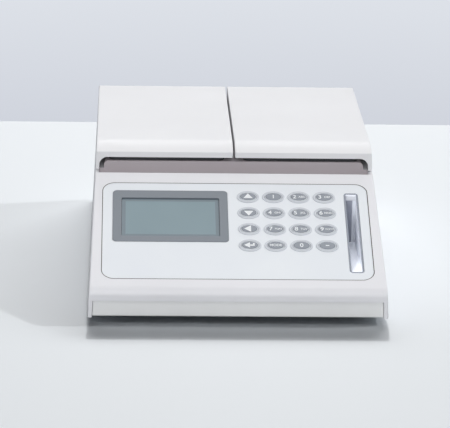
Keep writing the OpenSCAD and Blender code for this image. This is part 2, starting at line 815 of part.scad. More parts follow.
// The wall beside the other lid ends just above the plinth, and higher up behind the handhold
handhold_deep = 14;
module lid_side_cut(s, x0, y1, z)
    block(s > 0 ? [x0 - 1, x0 + wall + 0.01] : [-x0 - wall - 0.01, 1 - x0],
          [lid_y - 1, y1], [0, z]);

// Two knuckles beside each lug carry the lid on its pin
module lid_knuckles(s)
    for (x = lug_x) if (sign(x) == s) for (side = [-1, 1])
        translate([x + side * (lug_l / 2 + 0.5 + knuckle_l / 4), 0, 0]) across(knuckle_l / 2)
            polygon(concat(arc([hinge_y, hinge_z], knuckle_r, 180, 360, 12),
                           [[hinge_y + knuckle_r, hinge_z + 6], [hinge_y - knuckle_r, hinge_z + 3]]));

module left_lid() lid(-1);
module right_lid() lid(1);

// Inner liner under each lid
liner_z = plinth_h + 3.4;
liner_w = block_w + 10;
liner_l = block_l + 10;
module liner(s) color(pale)
    intersection() {
        translate([s * bay_x, bay_y, liner_z]) difference() {
            linear_extrude(body_h - wall - liner_z) round_rect(liner_w, liner_l, 5);
            translate([0, 0, 1.6]) linear_extrude(lid_h) round_rect(liner_w - 4, liner_l - 4, 4);
        }
        across(body_w) lid_hollow_outline();
    }
module left_liner() liner(-1);
module right_liner() liner(1);

module gasket(s) color(black)
    translate([s * bay_x, bay_y, plinth_h + 0.1]) difference() {
        linear_extrude(liner_z - plinth_h - 0.1) round_rect(liner_w - 1, liner_l - 1, 5);
        translate([0, 0, -1]) linear_extrude(lid_h) round_rect(liner_w - 7, liner_l - 7, 4);
    }
module left_gasket() gasket(-1);
module right_gasket() gasket(1);

module hinge_pin(s) color(metal)
    translate([s * half_w(deck_h) / 2, hinge_y, hinge_z]) rotate([0, 90, 0])
        cylinder(r = pin_r, h = bore_l - 1, center = true);
module left_pin() hinge_pin(-1);
module right_pin() hinge_pin(1);

base_tray();
top_cover();
panel_overlay();
display_frame();
display_lens();
display_module();
key_board();
key_domes();
trough_insert();
rear_panel();
power_switch();
power_rocker();
dc_jack();
serial_port();
usb_port();
main_board();
board_screws();
case_screws();
rubber_feet();
block_posts();
buzzer();
left_block();
right_block();
left_heater();
right_heater();
left_insulation();
right_insulation();
left_sensors();
right_sensors();
left_lid();
right_lid();
left_liner();
right_liner();
left_gasket();
right_gasket();
left_pin();
right_pin();
key_up();
key_1();
key_2();
key_3();
key_down();
key_4();
key_5();
key_6();
key_left();
key_7();
key_8();
key_9();
key_enter();
key_mode();
key_0();
key_dash();
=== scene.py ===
# %% [markdown]
# A bench analyzer for molecular tests: a low white housing with a sloped panel, a display, sixteen
# oval keys, a narrow pocket and two lids. Its CAD model is loaded first and stays as it is.
# Everything in this lesson is built around it, in metres and in the same place. Most pieces start
# as a copy of a CAD solid, so they fit each other as well as the solids do.

# %% Load the frame
import math

import bmesh
import bpy
from mathutils import Matrix, Vector


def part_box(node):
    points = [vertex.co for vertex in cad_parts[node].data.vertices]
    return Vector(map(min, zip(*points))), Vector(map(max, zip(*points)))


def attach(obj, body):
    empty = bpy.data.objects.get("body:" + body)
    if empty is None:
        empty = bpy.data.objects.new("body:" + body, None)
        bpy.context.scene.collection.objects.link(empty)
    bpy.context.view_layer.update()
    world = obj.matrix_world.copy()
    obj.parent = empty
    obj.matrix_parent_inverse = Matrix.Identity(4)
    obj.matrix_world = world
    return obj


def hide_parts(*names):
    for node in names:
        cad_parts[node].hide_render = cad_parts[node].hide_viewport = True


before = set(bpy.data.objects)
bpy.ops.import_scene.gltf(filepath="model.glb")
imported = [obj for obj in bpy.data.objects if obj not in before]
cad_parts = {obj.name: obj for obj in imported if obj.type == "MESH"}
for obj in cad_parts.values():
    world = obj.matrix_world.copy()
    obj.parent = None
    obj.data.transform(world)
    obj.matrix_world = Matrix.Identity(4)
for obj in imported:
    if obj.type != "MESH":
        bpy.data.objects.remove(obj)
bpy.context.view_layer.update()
MM = 0.001
SIDES = ("left", "right")

# %% [markdown]
# The panel slopes down to the front by 25.3 degrees, from its rear edge beside the finger channel.
# Keys, print and display could be modelled at that slope, but sizes are easier to check on a flat
# piece. So a helper lays a finished flat piece on the panel, at a place given across, down the
# slope and out of the surface.

# %% Panel places
PANEL_SLOPE = math.radians(25.3)
PANEL_EDGE_Y, DECK_Z = -35.3, 76.9
PANEL_EDGE = Vector((0, PANEL_EDGE_Y * MM, DECK_Z * MM))
PANEL_TURN = Matrix.Rotation(PANEL_SLOPE, 4, "X")


def on_panel(x, down, out=0.0):
    """Matrix that lays a flat piece on the panel: sizes in millimetres."""
    place = Vector((x * MM, -down * MM, out * MM))
    return Matrix.Translation(PANEL_EDGE) @ PANEL_TURN @ Matrix.Translation(place)


print("middle of the panel's rear edge", on_panel(0, 0).translation)

# %% [markdown]
# The camera stands in front and a little to the left, looking down by 17.5 degrees through a long
# lens. It could be aimed by eye. Here its place, turns and lens were found together, by matching
# the object's main edges in the photograph, so that each piece can be compared in its own place.

# %% Camera
PICTURE_W, PICTURE_H = 450, 428
FOCAL_PX = 2600
CENTRE_X, CENTRE_Y = 208.0, 213.3
PITCH, YAW, ROLL = (math.radians(a) for a in (17.52, 1.94, 1.03))
CAMERA_PLACE = Vector((-0.080, -1.849, 0.619))
SENSOR_MM = 36


def camera_axes():
    """The camera's right, up and forward directions from its three turns."""
    ahead = Vector((math.sin(YAW) * math.cos(PITCH), math.cos(YAW) * math.cos(PITCH), -math.sin(PITCH)))
    right = Vector((math.cos(YAW), -math.sin(YAW), 0))
    up = right.cross(ahead)
    turned_right = math.cos(ROLL) * right + math.sin(ROLL) * up
    turned_up = math.cos(ROLL) * up - math.sin(ROLL) * right
    return turned_right, turned_up, ahead


camera_data = bpy.data.cameras.new("camera")
camera_data.sensor_width = SENSOR_MM
camera_data.lens = SENSOR_MM * FOCAL_PX / PICTURE_W
camera_data.shift_x = (PICTURE_W / 2 - CENTRE_X) / PICTURE_W
camera_data.shift_y = (CENTRE_Y - PICTURE_H / 2) / PICTURE_W
camera_data.clip_end = 50
camera = bpy.data.objects.new("camera", camera_data)
bpy.context.scene.collection.objects.link(camera)
right_axis, up_axis, ahead_axis = camera_axes()
camera.matrix_world = Matrix((
    (right_axis.x, up_axis.x, -ahead_axis.x, CAMERA_PLACE.x),
    (right_axis.y, up_axis.y, -ahead_axis.y, CAMERA_PLACE.y),
    (right_axis.z, up_axis.z, -ahead_axis.z, CAMERA_PLACE.z),
    (0, 0, 0, 1)))
bpy.context.scene.camera = camera
print("lens", round(camera_data.lens, 1), "mm")

# %% [markdown]
# Colours are easiest to choose in steps of 0 to 255, as a picture shows them. A shader works with
# the amount of light instead, so each colour is turned into linear values first.

# %% Colours


def srgb(r, g, b):
    """A colour in steps of 0 to 255, as the linear values that a shader needs."""
    def linear(v):
        v /= 255
        return v / 12.92 if v <= 0.04045 else ((v + 0.055) / 1.055) ** 2.4
    return (linear(r), linear(g), linear(b), 1.0)


def shaded(color, share):
    """The same colour with that share of its light."""
    return tuple(c * share for c in color[:3]) + (1.0,)


print("half bright as a shader sees it", round(srgb(128, 128, 128)[0], 3))


# %% [markdown]
# A finish is a network of shader nodes. It could be wired one link at a time, but sums read best as
# plain arithmetic. `Wire` wraps an output socket, and each of its operators adds a Math node, so
# `0.30 + 0.10 * grain` can be written as it is thought.

# %% Shader arithmetic


class Wire:
    """One output socket, with the arithmetic that the finishes need."""

    def __init__(self, nodes, socket):
        self.nodes = nodes
        self.socket = socket

    def math(self, operation, *values):
        return self.nodes.node("ShaderNodeMath", {"operation": operation}, dict(enumerate(values)))

    def __add__(self, other):
        return self.math("ADD", self, other)

    def __radd__(self, other):
        return self.math("ADD", other, self)

    def __mul__(self, other):
        return self.math("MULTIPLY", self, other)

    def __rmul__(self, other):
        return self.math("MULTIPLY", other, self)

    def above(self, edge, soft):
        """0 below edge and 1 above it, with a soft step."""
        return self.nodes.node("ShaderNodeMapRange", {"clamp": True},
                               {"Value": self, "From Min": edge - soft, "From Max": edge + soft})


# %% [markdown]
# `Nodes` wraps a node tree, with one method that makes every node, so that a network reads like a
# list of what it does. The Mix node has several sockets of each name, so four are given by number.

# %% Node trees
FACTOR, FIRST_COLOR, SECOND_COLOR, MIXED_COLOR = 0, 6, 7, 2


class Nodes:
    """A node tree whose nodes all come from one method."""

    def __init__(self, tree):
        self.tree = tree

    def put(self, socket, value):
        """Links a wire to a socket, or sets the socket's own value."""
        if isinstance(value, Wire):
            self.tree.links.new(value.socket, socket)
        else:
            socket.default_value = value

    def node(self, kind, settings=None, inputs=None, out=0):
        """A node of this type: its settings come first, then the values or wires of its sockets."""
        new = self.tree.nodes.new(kind)
        for name, value in (settings or {}).items():
            setattr(new, name, value)
        for key, value in (inputs or {}).items():
            self.put(new.inputs[key], value)
        return Wire(self, new.outputs[out])

    def mix(self, factor, first, second):
        """Mixes two colours."""
        return self.node("ShaderNodeMix", {"data_type": "RGBA"},
                         {FACTOR: factor, FIRST_COLOR: first, SECOND_COLOR: second}, out=MIXED_COLOR)


# %% [markdown]
# `Finish` is the tree of one material. What is the same all over a piece is set once, on the
# shader's own sockets. Patterns read Object coordinates, in metres from the origin, so they keep
# their real size on every piece.

# %% Finishes
PLASTIC_IOR = 1.46


class Finish(Nodes):
    """One material: plain values first, patterns over them."""

    def __init__(self, name, color, roughness, metallic=0.0, coat=0.0, coat_roughness=0.1):
        self.material = bpy.data.materials.new(name)
        self.material.use_nodes = True
        self.material.diffuse_color = color
        super().__init__(self.material.node_tree)
        self.shader = self.tree.nodes["Principled BSDF"]
        self.set("Base Color", color)
        self.set("Roughness", roughness)
        self.set("Metallic", metallic)
        self.set("Coat Weight", coat)
        self.set("Coat Roughness", coat_roughness)
        self.set("IOR", PLASTIC_IOR)

    def set(self, name, value):
        self.put(self.shader.inputs[name], value)

    def spot(self):
        """Object coordinates, in metres."""
        return self.node("ShaderNodeTexCoord", out="Object")

    def along(self, axis):
        """One of the object coordinates: X, Y or Z."""
        return self.node("ShaderNodeSeparateXYZ", None, {"Vector": self.spot()}, out=axis)

    def noise(self, waves, detail=2.0, rough=0.5, stretch=(1, 1, 1)):
        """Soft noise with about that many waves in a metre."""
        place = self.node("ShaderNodeMapping", None, {"Vector": self.spot(), "Scale": stretch})
        return self.node("ShaderNodeTexNoise", {"noise_dimensions": "3D"},
                         {"Vector": place, "Scale": waves, "Detail": detail, "Roughness": rough})

    def bump(self, height, strength, distance, under=None):
        """A normal from a height pattern, over another bump if one is given."""
        inputs = {"Height": height, "Strength": strength, "Distance": distance}
        if under is not None:
            inputs["Normal"] = under
        return self.node("ShaderNodeBump", None, inputs)


# %% [markdown]
# The housing is moulded in white plastic with a fine spark-eroded grain. Displacing the mesh that
# finely would take millions of faces, so the grain is a bump of a fraction of a millimetre. From
# afar one sees only its soft gloss, a faint drift of tone where the mould was polished more or
# less, slight sink marks, and spots that hands have rubbed.

# %% White moulded plastic
TONE_WAVES, RUBBED_WAVES, SHEEN_WAVES, SINK_WAVES = 14.0, 160.0, 420.0, 55.0
SINK_DEPTH = 0.00012


def moulded(name, color, grain=2600.0, depth=0.000018, roughness=0.42, drift=0.02):
    """A moulded plastic with a grain in waves to the metre, its depth in metres."""
    f = Finish(name, color, roughness)
    tone = f.noise(TONE_WAVES, detail=3.0).above(0.5, 0.25)
    rubbed = f.noise(RUBBED_WAVES, detail=4.0, rough=0.62).above(0.64, 0.08)
    f.set("Base Color", f.mix(tone, shaded(color, 1 - drift * 2), color))
    f.set("Roughness", roughness - 0.06 + 0.08 * f.noise(SHEEN_WAVES) + 0.05 * rubbed)
    skin = f.bump(f.noise(grain, detail=3.0), 0.35, depth)
    f.set("Normal", f.bump(f.noise(SINK_WAVES, detail=1.0), 0.10, SINK_DEPTH, under=skin))
    return f.material


def count_finishes(what):
    print(len(bpy.data.materials), "finishes with", what)


lid_white = moulded("lid_plastic", srgb(236, 236, 238))
shell_white = moulded("housing_plastic", srgb(234, 234, 238))
tray_white = moulded("tray_plastic", srgb(241, 242, 242), roughness=0.46)
liner_pale = moulded("liner_plastic", srgb(205, 207, 212), grain=1800.0)
count_finishes("the shells")

# %% [markdown]
# The panel skin is a printed polyester film over a moulded plate. It is smoother than the
# housing and slightly bluish. A coat with a wide, soft gloss gives it the fine matt texture of a
# screen-printed film, which a rougher plastic alone wouldn't show.

# %% Panel film
film = Finish("panel_film", srgb(231, 235, 240), 0.34, coat=0.15, coat_roughness=0.3)
film_tone = film.noise(22.0).above(0.5, 0.3)
film.set("Base Color", film.mix(film_tone, srgb(228, 232, 238), srgb(233, 237, 241)))
film.set("Roughness", 0.30 + 0.10 * film.noise(900.0))
film.set("Normal", film.bump(film.noise(3800.0), 0.2, 0.00001))
panel_film = film.material
count_finishes("the panel film")

# %% [markdown]
# The display's frame, the keys and the pocket are moulded in greys, the collars round the keys are
# printed in two pale ones, and the legends in white. They share the housing's recipe, with a finer
# grain on the smaller pieces.

# %% Greys of the panel's pieces
frame_grey = moulded("frame_grey", srgb(121, 128, 136), grain=2200.0, roughness=0.36)
key_grey = moulded("key_grey", srgb(141, 147, 156), grain=3200.0, roughness=0.38)
key_edge = moulded("key_edge", srgb(102, 108, 118), grain=3200.0, roughness=0.38)
collar_grey = moulded("collar_grey", srgb(216, 220, 226), grain=3200.0, roughness=0.36)
collar_soft = moulded("collar_soft", srgb(205, 209, 216), grain=3200.0, roughness=0.36)
trough_grey = moulded("trough_grey", srgb(228, 231, 238), grain=2000.0, roughness=0.40)
trough_rim = moulded("trough_rim", srgb(108, 113, 123), grain=2200.0, roughness=0.38)
ledge_grey = moulded("ledge_grey", srgb(172, 175, 183), grain=2000.0, roughness=0.40)
print_white = moulded("key_print", srgb(240, 242, 245), grain=4000.0, roughness=0.5)
count_finishes("the panel's greys")

# %% [markdown]
# The pocket's upright back wall is painted with shade: a dark strip at its left for the deep shade
# there, and a paler one at its right for lighter shade. The wall is plain, so the painted shade is a
# colour that changes at one place across the object.

# %% Pocket wall
# Painted shade on the back wall: deep shade left of this place, lighter shade right of it.
SHADE_EDGE_X = 84.9
DEEP_SHADE = srgb(116, 120, 132)
LIGHTER_SHADE = srgb(184, 188, 196)
wall = Finish("pocket_wall_shade", DEEP_SHADE, 0.42)
wall.set("Base Color", wall.mix(wall.along("X").above(SHADE_EDGE_X * MM, 0.06 * MM), DEEP_SHADE, LIGHTER_SHADE))
wall.set("Roughness", 0.38 + 0.08 * wall.noise(SHEEN_WAVES))
wall.set("Normal", wall.bump(wall.noise(2000.0, detail=3.0), 0.35, 0.000018))
pocket_wall_shade = wall.material
count_finishes("the pocket wall")

# %% [markdown]
# The raised rim under the lids has a warmer grey than the housing, darker than that grey alone so that it
# also carries painted shade from the lids' lip, and the ring over the gap round the panel is painted shade.
# Rubber, foam and silicone are matt and dark, with a coarser grain.

# %% Rim, gap, rubber and foam
# The rim's warm grey is its own colour, darkened to also carry painted shade from the lids' lip.
rim_grey_and_shade = moulded("rim_grey_and_shade", srgb(184, 176, 180), grain=2400.0)
# Painted shade: the dark brown line in the gap round the panel skin.
gap_painted_shade = moulded("gap_shade", srgb(60, 52, 44), grain=1500.0, roughness=0.7)
black_plastic = moulded("black_plastic", srgb(34, 34, 37), grain=2400.0, roughness=0.45)
foam = moulded("foam", srgb(58, 58, 62), grain=900.0, depth=0.00012, roughness=0.85, drift=0.06)
silicone = moulded("silicone", srgb(46, 47, 50), grain=1500.0, roughness=0.6)
rubber = moulded("rubber", srgb(30, 30, 31), grain=1400.0, depth=0.00004, roughness=0.72, drift=0.05)
count_finishes("rubber and foam")

# %% [markdown]
# Blasting leaves an even, fine texture on the heat blocks, and the plating of pins and screws shows
# faint lines along them. Both are one metal recipe: its noise is left round or stretched to lines,
# and drives the gloss and the bump together.

# %% Metals


def metal(name, color, roughness, stretch=(1, 1, 1), grain=900.0):
    """A metal whose gloss and bump follow one noise."""
    f = Finish(name, color, roughness, metallic=1.0)
    lines = f.noise(grain, detail=4.0, stretch=stretch)
    f.set("Roughness", roughness - 0.08 + 0.16 * lines)
    f.set("Base Color", f.mix(f.noise(60.0).above(0.5, 0.2), shaded(color, 0.93), color))
    f.set("Normal", f.bump(lines, 0.12, 0.00002))
    return f.material


blasted_aluminium = metal("blasted_aluminium", srgb(205, 207, 211), 0.42, grain=1800.0)
zinc_steel = metal("zinc_steel", srgb(196, 197, 200), 0.30, stretch=(1, 1, 8), grain=500.0)
count_finishes("the metals")

# %% [markdown]
# The rear panel is powder coated, the heaters are amber film, and the circuit boards have a green
# mask over their copper tracks. A noise that is stretched across the board and cut off sharply
# gives the tracks, a little paler and a little raised.

# %% Powder coat, heater film and circuit board
TRACK_WAVES = 240.0
panel_steel = moulded("powder_coat", srgb(176, 178, 182), grain=1100.0, depth=0.00003, roughness=0.5)
heater_film = moulded("heater_film", srgb(188, 118, 48), grain=700.0, roughness=0.25)
board_mask = Finish("solder_mask", srgb(26, 92, 58), 0.30, coat=0.5)
tracks = board_mask.noise(TRACK_WAVES, detail=0.0, stretch=(1, 6, 1)).above(0.56, 0.01)
board_mask.set("Base Color", board_mask.mix(tracks, srgb(22, 84, 52), srgb(44, 120, 76)))
board_mask.set("Normal", board_mask.bump(tracks, 0.3, 0.00003))
board_green = board_mask.material
count_finishes("the boards")

# %% [markdown]
# The display is a reflective one: dark or pale dots on a silvery green ground, bonded under
# glass, so it has a clear coat. With nothing shown, the ground still has its fine dot raster and
# a slight drift of tone. A picture of the raster would blur up close, so it is worked out from the
# coordinates. Round it runs a plain border of the same green, darker than a border alone: it also
# carries painted shade for the shade that the frame casts into the window.

# %% Display ground
DOT_PITCH = 0.52 * MM
LINE_START, LINE_SOFT, LINE_SHARE = 0.42, 0.05, 0.35
GLASS_ROUGHNESS = 0.08


def display_finish(name, color):
    """A printed ground under bonded glass."""
    return Finish(name, color, 0.45, coat=0.5, coat_roughness=GLASS_ROUGHNESS)


def raster(axis, pitch):
    """Thin lines between the dots along one axis of the coordinates."""
    place = ground.along(axis)
    wave = place.math("PINGPONG", place, pitch / 2)
    return wave.above(pitch * LINE_START, pitch * LINE_SOFT)


ground = display_finish("display_ground", srgb(110, 134, 142))
columns = raster("X", DOT_PITCH)
dots = columns.math("MAXIMUM", columns, raster("Y", DOT_PITCH * math.cos(PANEL_SLOPE)))
ground_tone = ground.noise(30.0, detail=1.0).above(0.5, 0.3)
plain_ground = ground.mix(ground_tone, srgb(107, 131, 139), srgb(113, 137, 145))
ground.set("Base Color", ground.mix(dots * LINE_SHARE, plain_ground, srgb(97, 120, 127)))
display_ground = ground.material

# The border's darker green is partly the display's border and partly painted shade from the frame.
border = display_finish("display_border_and_shade", srgb(97, 114, 124))
border_tone = border.noise(30.0, detail=1.0).above(0.5, 0.3)
border.set("Base Color", border.mix(border_tone, srgb(90, 107, 117), srgb(97, 114, 124)))
display_border_and_shade = border.material
count_finishes("the display")

# %% [markdown]
# An operator acts on all that is selected, and the loaded CAD nodes are selected too. So each step
# first selects its own piece and nothing else. What repeats is modelled once and copied, each copy
# with a mesh of its own.

# %% Selecting, editing and copying


def only(obj):
    """Deselects everything, then selects obj and makes it active."""
    bpy.ops.object.select_all(action="DESELECT")
    obj.hide_set(False)
    obj.select_set(True)
    bpy.context.view_layer.objects.active = obj


def edit(obj, action="SELECT"):
    """Opens a piece in edit mode, with all of it selected or nothing."""
    only(obj)
    bpy.ops.object.mode_set(mode="EDIT")
    bpy.ops.mesh.select_all(action=action)


def leave_edit():
    bpy.ops.object.mode_set(mode="OBJECT")


def close_edit():
    """Turns every face outwards and leaves edit mode."""
    bpy.ops.mesh.select_all(action="SELECT")
    bpy.ops.mesh.normals_make_consistent(inside=False)
    leave_edit()


def near(value, target, reach=0.12):
    return abs(value - target) < reach


def sizes(obj):
    """A piece's size in millimetres, rounded for printing."""
    return [round(v, 2) for v in obj.dimensions / MM]


def copy_of(mesh, name, place=None):
    """An object with a mesh of its own, moved to its place in the mesh."""
    obj = bpy.data.objects.new(name, mesh.copy())
    if place is not None:
        obj.data.transform(place)
    bpy.context.scene.collection.objects.link(obj)
    return obj


# %% [markdown]
# Each shell is a copy of its CAD solid. A solid arrives as loose triangles, so the copy's doubles
# are merged and its flat areas become single faces, which bevel and shade cleanly.

# %% Copies of CAD solids
MERGE_REACH = 0.002 * MM
FLAT_DEGREES = 0.4


def node_box(node):
    """Low and high corner of a CAD node's box, in millimetres."""
    return [Vector(corner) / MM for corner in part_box(node)]


def cad_copy(node, name):
    """A copy of a CAD solid whose triangles are merged to whole faces."""
    obj = copy_of(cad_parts[node].data, name)
    obj.data.materials.clear()
    edit(obj)
    bpy.ops.mesh.remove_doubles(threshold=MERGE_REACH)
    bpy.ops.mesh.dissolve_limited(angle_limit=math.radians(FLAT_DEGREES))
    leave_edit()
    return obj


# %% [markdown]
# Real mouldings have no sharp edges, so the long edges are rounded with the bevel operator, group
# by group, with the radius that each edge has on the real part. A bevel modifier would be shorter,
# but it rounds every edge by the same radius.

# %% Rounding and smoothing
SHARP_DEGREES = 25


def edge_facts(edge):
    """Middle in millimetres, direction, and the angle between the edge's two faces in degrees."""
    a, b = (v.co for v in edge.verts)
    angle = math.degrees(edge.calc_face_angle(0.0))
    return (a + b) / 2 / MM, (b - a).normalized(), angle


def round_edges(obj, test, radius, segments=3):
    """Rounds the sharp edges that pass test(middle, direction)."""
    edit(obj, "DESELECT")
    bpy.ops.mesh.select_mode(type="EDGE")
    mesh = bmesh.from_edit_mesh(obj.data)
    count = 0
    for edge in mesh.edges:
        middle, along, angle = edge_facts(edge)
        if angle > SHARP_DEGREES and test(middle, along):
            edge.select = True
            count += 1
    bmesh.update_edit_mesh(obj.data)
    if count:
        bpy.ops.mesh.bevel(offset=radius * MM, segments=segments, profile=0.5, affect="EDGES",
                           clamp_overlap=True, miter_outer="ARC")
    leave_edit()
    print(obj.name, "rounded", count, "edges by", radius, "mm")


def smooth(obj, angle=32):
    """Smooth shading up to an angle, with flat faces kept flat between their rounded edges."""
    only(obj)
    bpy.ops.object.shade_smooth_by_angle(angle=math.radians(angle))
    flatten = obj.modifiers.new("flatten", "WEIGHTED_NORMAL")
    flatten.keep_sharp = True
    flatten.weight = 80
    bpy.ops.object.modifier_apply(modifier=flatten.name)
    return obj


# %% [markdown]
# A finished piece gets its material, the body that it moves with, and the CAD nodes that it stands
# for. Its object stays at the origin, with its place in its mesh, as the CAD nodes have it.

# %% Finishing a piece


def finish_piece(obj, body, material, nodes=()):
    """Material, body, material slot and the CAD nodes that the piece stands for."""
    obj.data.materials.clear()
    obj.data.materials.append(material)
    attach(obj, body)
    if nodes:
        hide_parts(*nodes)
    return obj


def lay_on_panel(obj, x, down, out=0.0):
    """Moves a flat piece's mesh onto the panel and leaves its object at the origin."""
    obj.data.transform(on_panel(x, down, out) @ obj.matrix_world)
    obj.matrix_world = Matrix.Identity(4)


# %% [markdown]
# The top cover carries everything the user sees. Its long outer edges get a radius of about a
# millimetre, the panel's rear edge over the finger channel less than half of that, and the raised
# rim behind it half a millimetre. The rim round the bays is a greyer tone than the rest, partly its
# own grey and partly painted shade for the shade under the lids' lip. It is one moulding with the
# cover, so it stays in the same mesh and its faces get a second material.

# %% Top cover
HALF_WIDTH, FOOT_HEIGHT, SIDE_LEAN = 105, 4.5, 0.05
RIM_FRONT_Y, BEHIND_RIM_Y, RIM_TOP_Z = -24, 136, 82.5
BELOW_CHANNEL_Z = 66
MOSTLY = 0.9


def lengthwise(along):
    """True for an edge that runs along the body more than across it."""
    return abs(along.x) < 0.5


def side_edge(middle, along):
    """Edges of the two side faces, which lean inwards as they rise."""
    side = HALF_WIDTH - SIDE_LEAN * (middle.z - FOOT_HEIGHT)
    return near(abs(middle.x), side, 0.15) and lengthwise(along)


def across_at(middle, along, y):
    """Edges that run from side to side at this place from front to back."""
    return abs(along.x) > MOSTLY and near(middle.y, y, 0.1)


def channel_edge(middle, along):
    return across_at(middle, along, PANEL_EDGE_Y) and near(middle.z, DECK_Z, 0.2)


def rim_edge(middle, along):
    return across_at(middle, along, RIM_FRONT_Y) and middle.z > RIM_TOP_Z - 0.5


cover = cad_copy("top_cover", "cover_shell")
round_edges(cover, side_edge, 1.1)
round_edges(cover, channel_edge, 0.4)
round_edges(cover, rim_edge, 0.6)
smooth(cover)
finish_piece(cover, "housing", shell_white, ["top_cover"])
cover.data.materials.append(rim_grey_and_shade)
grey_faces = 0
for face in cover.data.polygons:
    middle = face.center / MM
    riser = near(middle.y, RIM_FRONT_Y) and middle.z > BELOW_CHANNEL_Z
    rim = middle.z > DECK_Z + 0.1 and RIM_FRONT_Y < middle.y < BEHIND_RIM_Y
    if riser or rim:
        face.material_index = 1
        grey_faces += 1
print("rim", grey_faces, "faces")

# %% [markdown]
# Two white lids close the bays side by side, with a narrow gap between them. Their outer sides go
# on in the cover's lean, so they share its edge test, and the edges along the gap get the same
# radius. The front lip is crisper.

# %% Lids
LID_FRONT_Y = -28.4
LID_GAP_HALF = 0.7
ABOVE_LIP_Z = 84


def lid_outer(middle, along):
    beside_gap = near(abs(middle.x), LID_GAP_HALF, 0.05) and middle.z > ABOVE_LIP_Z
    return side_edge(middle, along) or beside_gap and lengthwise(along)


def lid_front(middle, along):
    return across_at(middle, along, LID_FRONT_Y)


for side in SIDES:
    lid = cad_copy(side + "_lid", side + "_lid_shell")
    round_edges(lid, lid_outer, 1.1, 4)
    round_edges(lid, lid_front, 0.5)
    smooth(lid)
    finish_piece(lid, side + "_lid", lid_white, [side + "_lid"])

# %% [markdown]
# The base tray closes the housing from below. Only its front shows, in the recess under the nose,
# so only the lower front edge is rounded.

# %% Base tray
TRAY_FRONT_Y = -142.9


def tray_edge(middle, along):
    return across_at(middle, along, TRAY_FRONT_Y) and middle.z < 6


tray = cad_copy("base_tray", "tray_shell")
round_edges(tray, tray_edge, 0.8)
smooth(tray)
finish_piece(tray, "housing", tray_white, ["base_tray"])

# %% [markdown]
# The panel's small pieces are modelled flat, with x across, y up the slope and z out of the
# surface, and laid on the panel when they are done. To find an edge on the sloped panel, its
# middle is turned back into those flat coordinates. These pieces start from an oval or a
# rectangle, so there is a helper for each, and one that grows an oval upwards.

# %% Flat coordinates and shapes
TO_FLAT = on_panel(0, 0).inverted()


def flat(middle):
    """A point in millimetres, given as x, distance down the slope, and height over it."""
    spot = TO_FLAT @ (middle * MM) / MM
    return spot.x, -spot.y, spot.z


def higher_than(height):
    """Test for the edges that lie further out of the panel than this."""
    return lambda middle, along: flat(middle)[2] > height


def oval(name, length, width, points=56):
    """A flat oval face."""
    bpy.ops.object.select_all(action="DESELECT")
    bpy.ops.mesh.primitive_circle_add(vertices=points, radius=0.5, fill_type="NGON")
    obj = bpy.context.object
    obj.name = name
    obj.scale = (length * MM, width * MM, 1)
    bpy.ops.object.transform_apply(location=True, rotation=True, scale=True)
    return obj


def rectangle(length, width):
    """A flat rectangle about the origin."""
    bpy.ops.object.select_all(action="DESELECT")
    bpy.ops.mesh.primitive_plane_add(size=1)
    obj = bpy.context.object
    obj.data.transform(Matrix.Diagonal((length * MM, width * MM, 1, 1)))
    return obj


def grow(obj, length, width, steps):
    """Extrudes an oval upwards through (inset, height) steps, like layers of a contour map."""
    edit(obj)
    last_inset, last_height = 0, 0
    for inset, height in steps:
        rise = (height - last_height) * MM
        across = (length - 2 * inset) / (length - 2 * last_inset)
        along = (width - 2 * inset) / (width - 2 * last_inset)
        bpy.ops.mesh.extrude_region_move(TRANSFORM_OT_translate={"value": (0, 0, rise)})
        bpy.ops.transform.resize(value=(across, along, 1), center_override=(0, 0, 0))
        last_inset, last_height = inset, height
    close_edit()


# %% [markdown]
# The panel skin stays one piece with its raised collars, as the real film is one piece over its
# plate. The collars' rims are rounded. Their slopes are printed pale grey, darker on the side that
# falls away from the key. A pattern of rings in the material would need every key's place, so the
# faces are picked by their place round the nearest key.

# %% Panel skin
KEY_LENGTH, KEY_WIDTH = 12.4, 8.6
FIRST_KEY_X, FIRST_KEY_T = 9.25, 25.7
KEY_STEP_X, KEY_STEP_T = 18.3, 16.9
KEYS_IN_ROW = 4
COLLAR_HEIGHT, RAISED = 0.5, 0.03
CREST_GROWTH = 1.9
SKIN_SIDE_X = 85


def skin_side(middle, along):
    """The skin's own outer edges, beyond the outermost pieces on it."""
    return near(flat(middle)[2], 0, 0.02) and abs(middle.x) > SKIN_SIDE_X


skin = cad_copy("panel_overlay", "panel_skin")
round_edges(skin, higher_than(COLLAR_HEIGHT - 0.05), 0.42)
round_edges(skin, skin_side, 0.12, 1)
smooth(skin, 40)


def key_ratio(x, t, length, width):
    """Below 1 inside an oval of this size about the nearest key."""
    column = min(KEYS_IN_ROW - 1, max(0, round((x - FIRST_KEY_X) / KEY_STEP_X)))
    row = min(KEYS_IN_ROW - 1, max(0, round((t - FIRST_KEY_T) / KEY_STEP_T)))
    dx = (x - FIRST_KEY_X - column * KEY_STEP_X) / (length / 2)
    dt = (t - FIRST_KEY_T - row * KEY_STEP_T) / (width / 2)
    return math.hypot(dx, dt)


def mean_ratio(face, length, width):
    """The same for a face that runs round a key: the average over its corners."""
    spots = [flat(skin.data.vertices[index].co / MM) for index in face.vertices]
    return sum(key_ratio(x, t, length, width) for x, t, out in spots) / len(spots)


finish_piece(skin, "housing", panel_film, ["panel_overlay"])
skin.data.materials.append(collar_grey)
skin.data.materials.append(collar_soft)
counts = [0, 0, 0]
for face in skin.data.polygons:
    x, t, out = flat(face.center / MM)
    inner = mean_ratio(face, KEY_LENGTH + CREST_GROWTH, KEY_WIDTH + CREST_GROWTH) < 1
    if out > RAISED:
        face.material_index = 1 if inner else 2
    counts[face.material_index] += 1
print("skin faces by finish", counts)

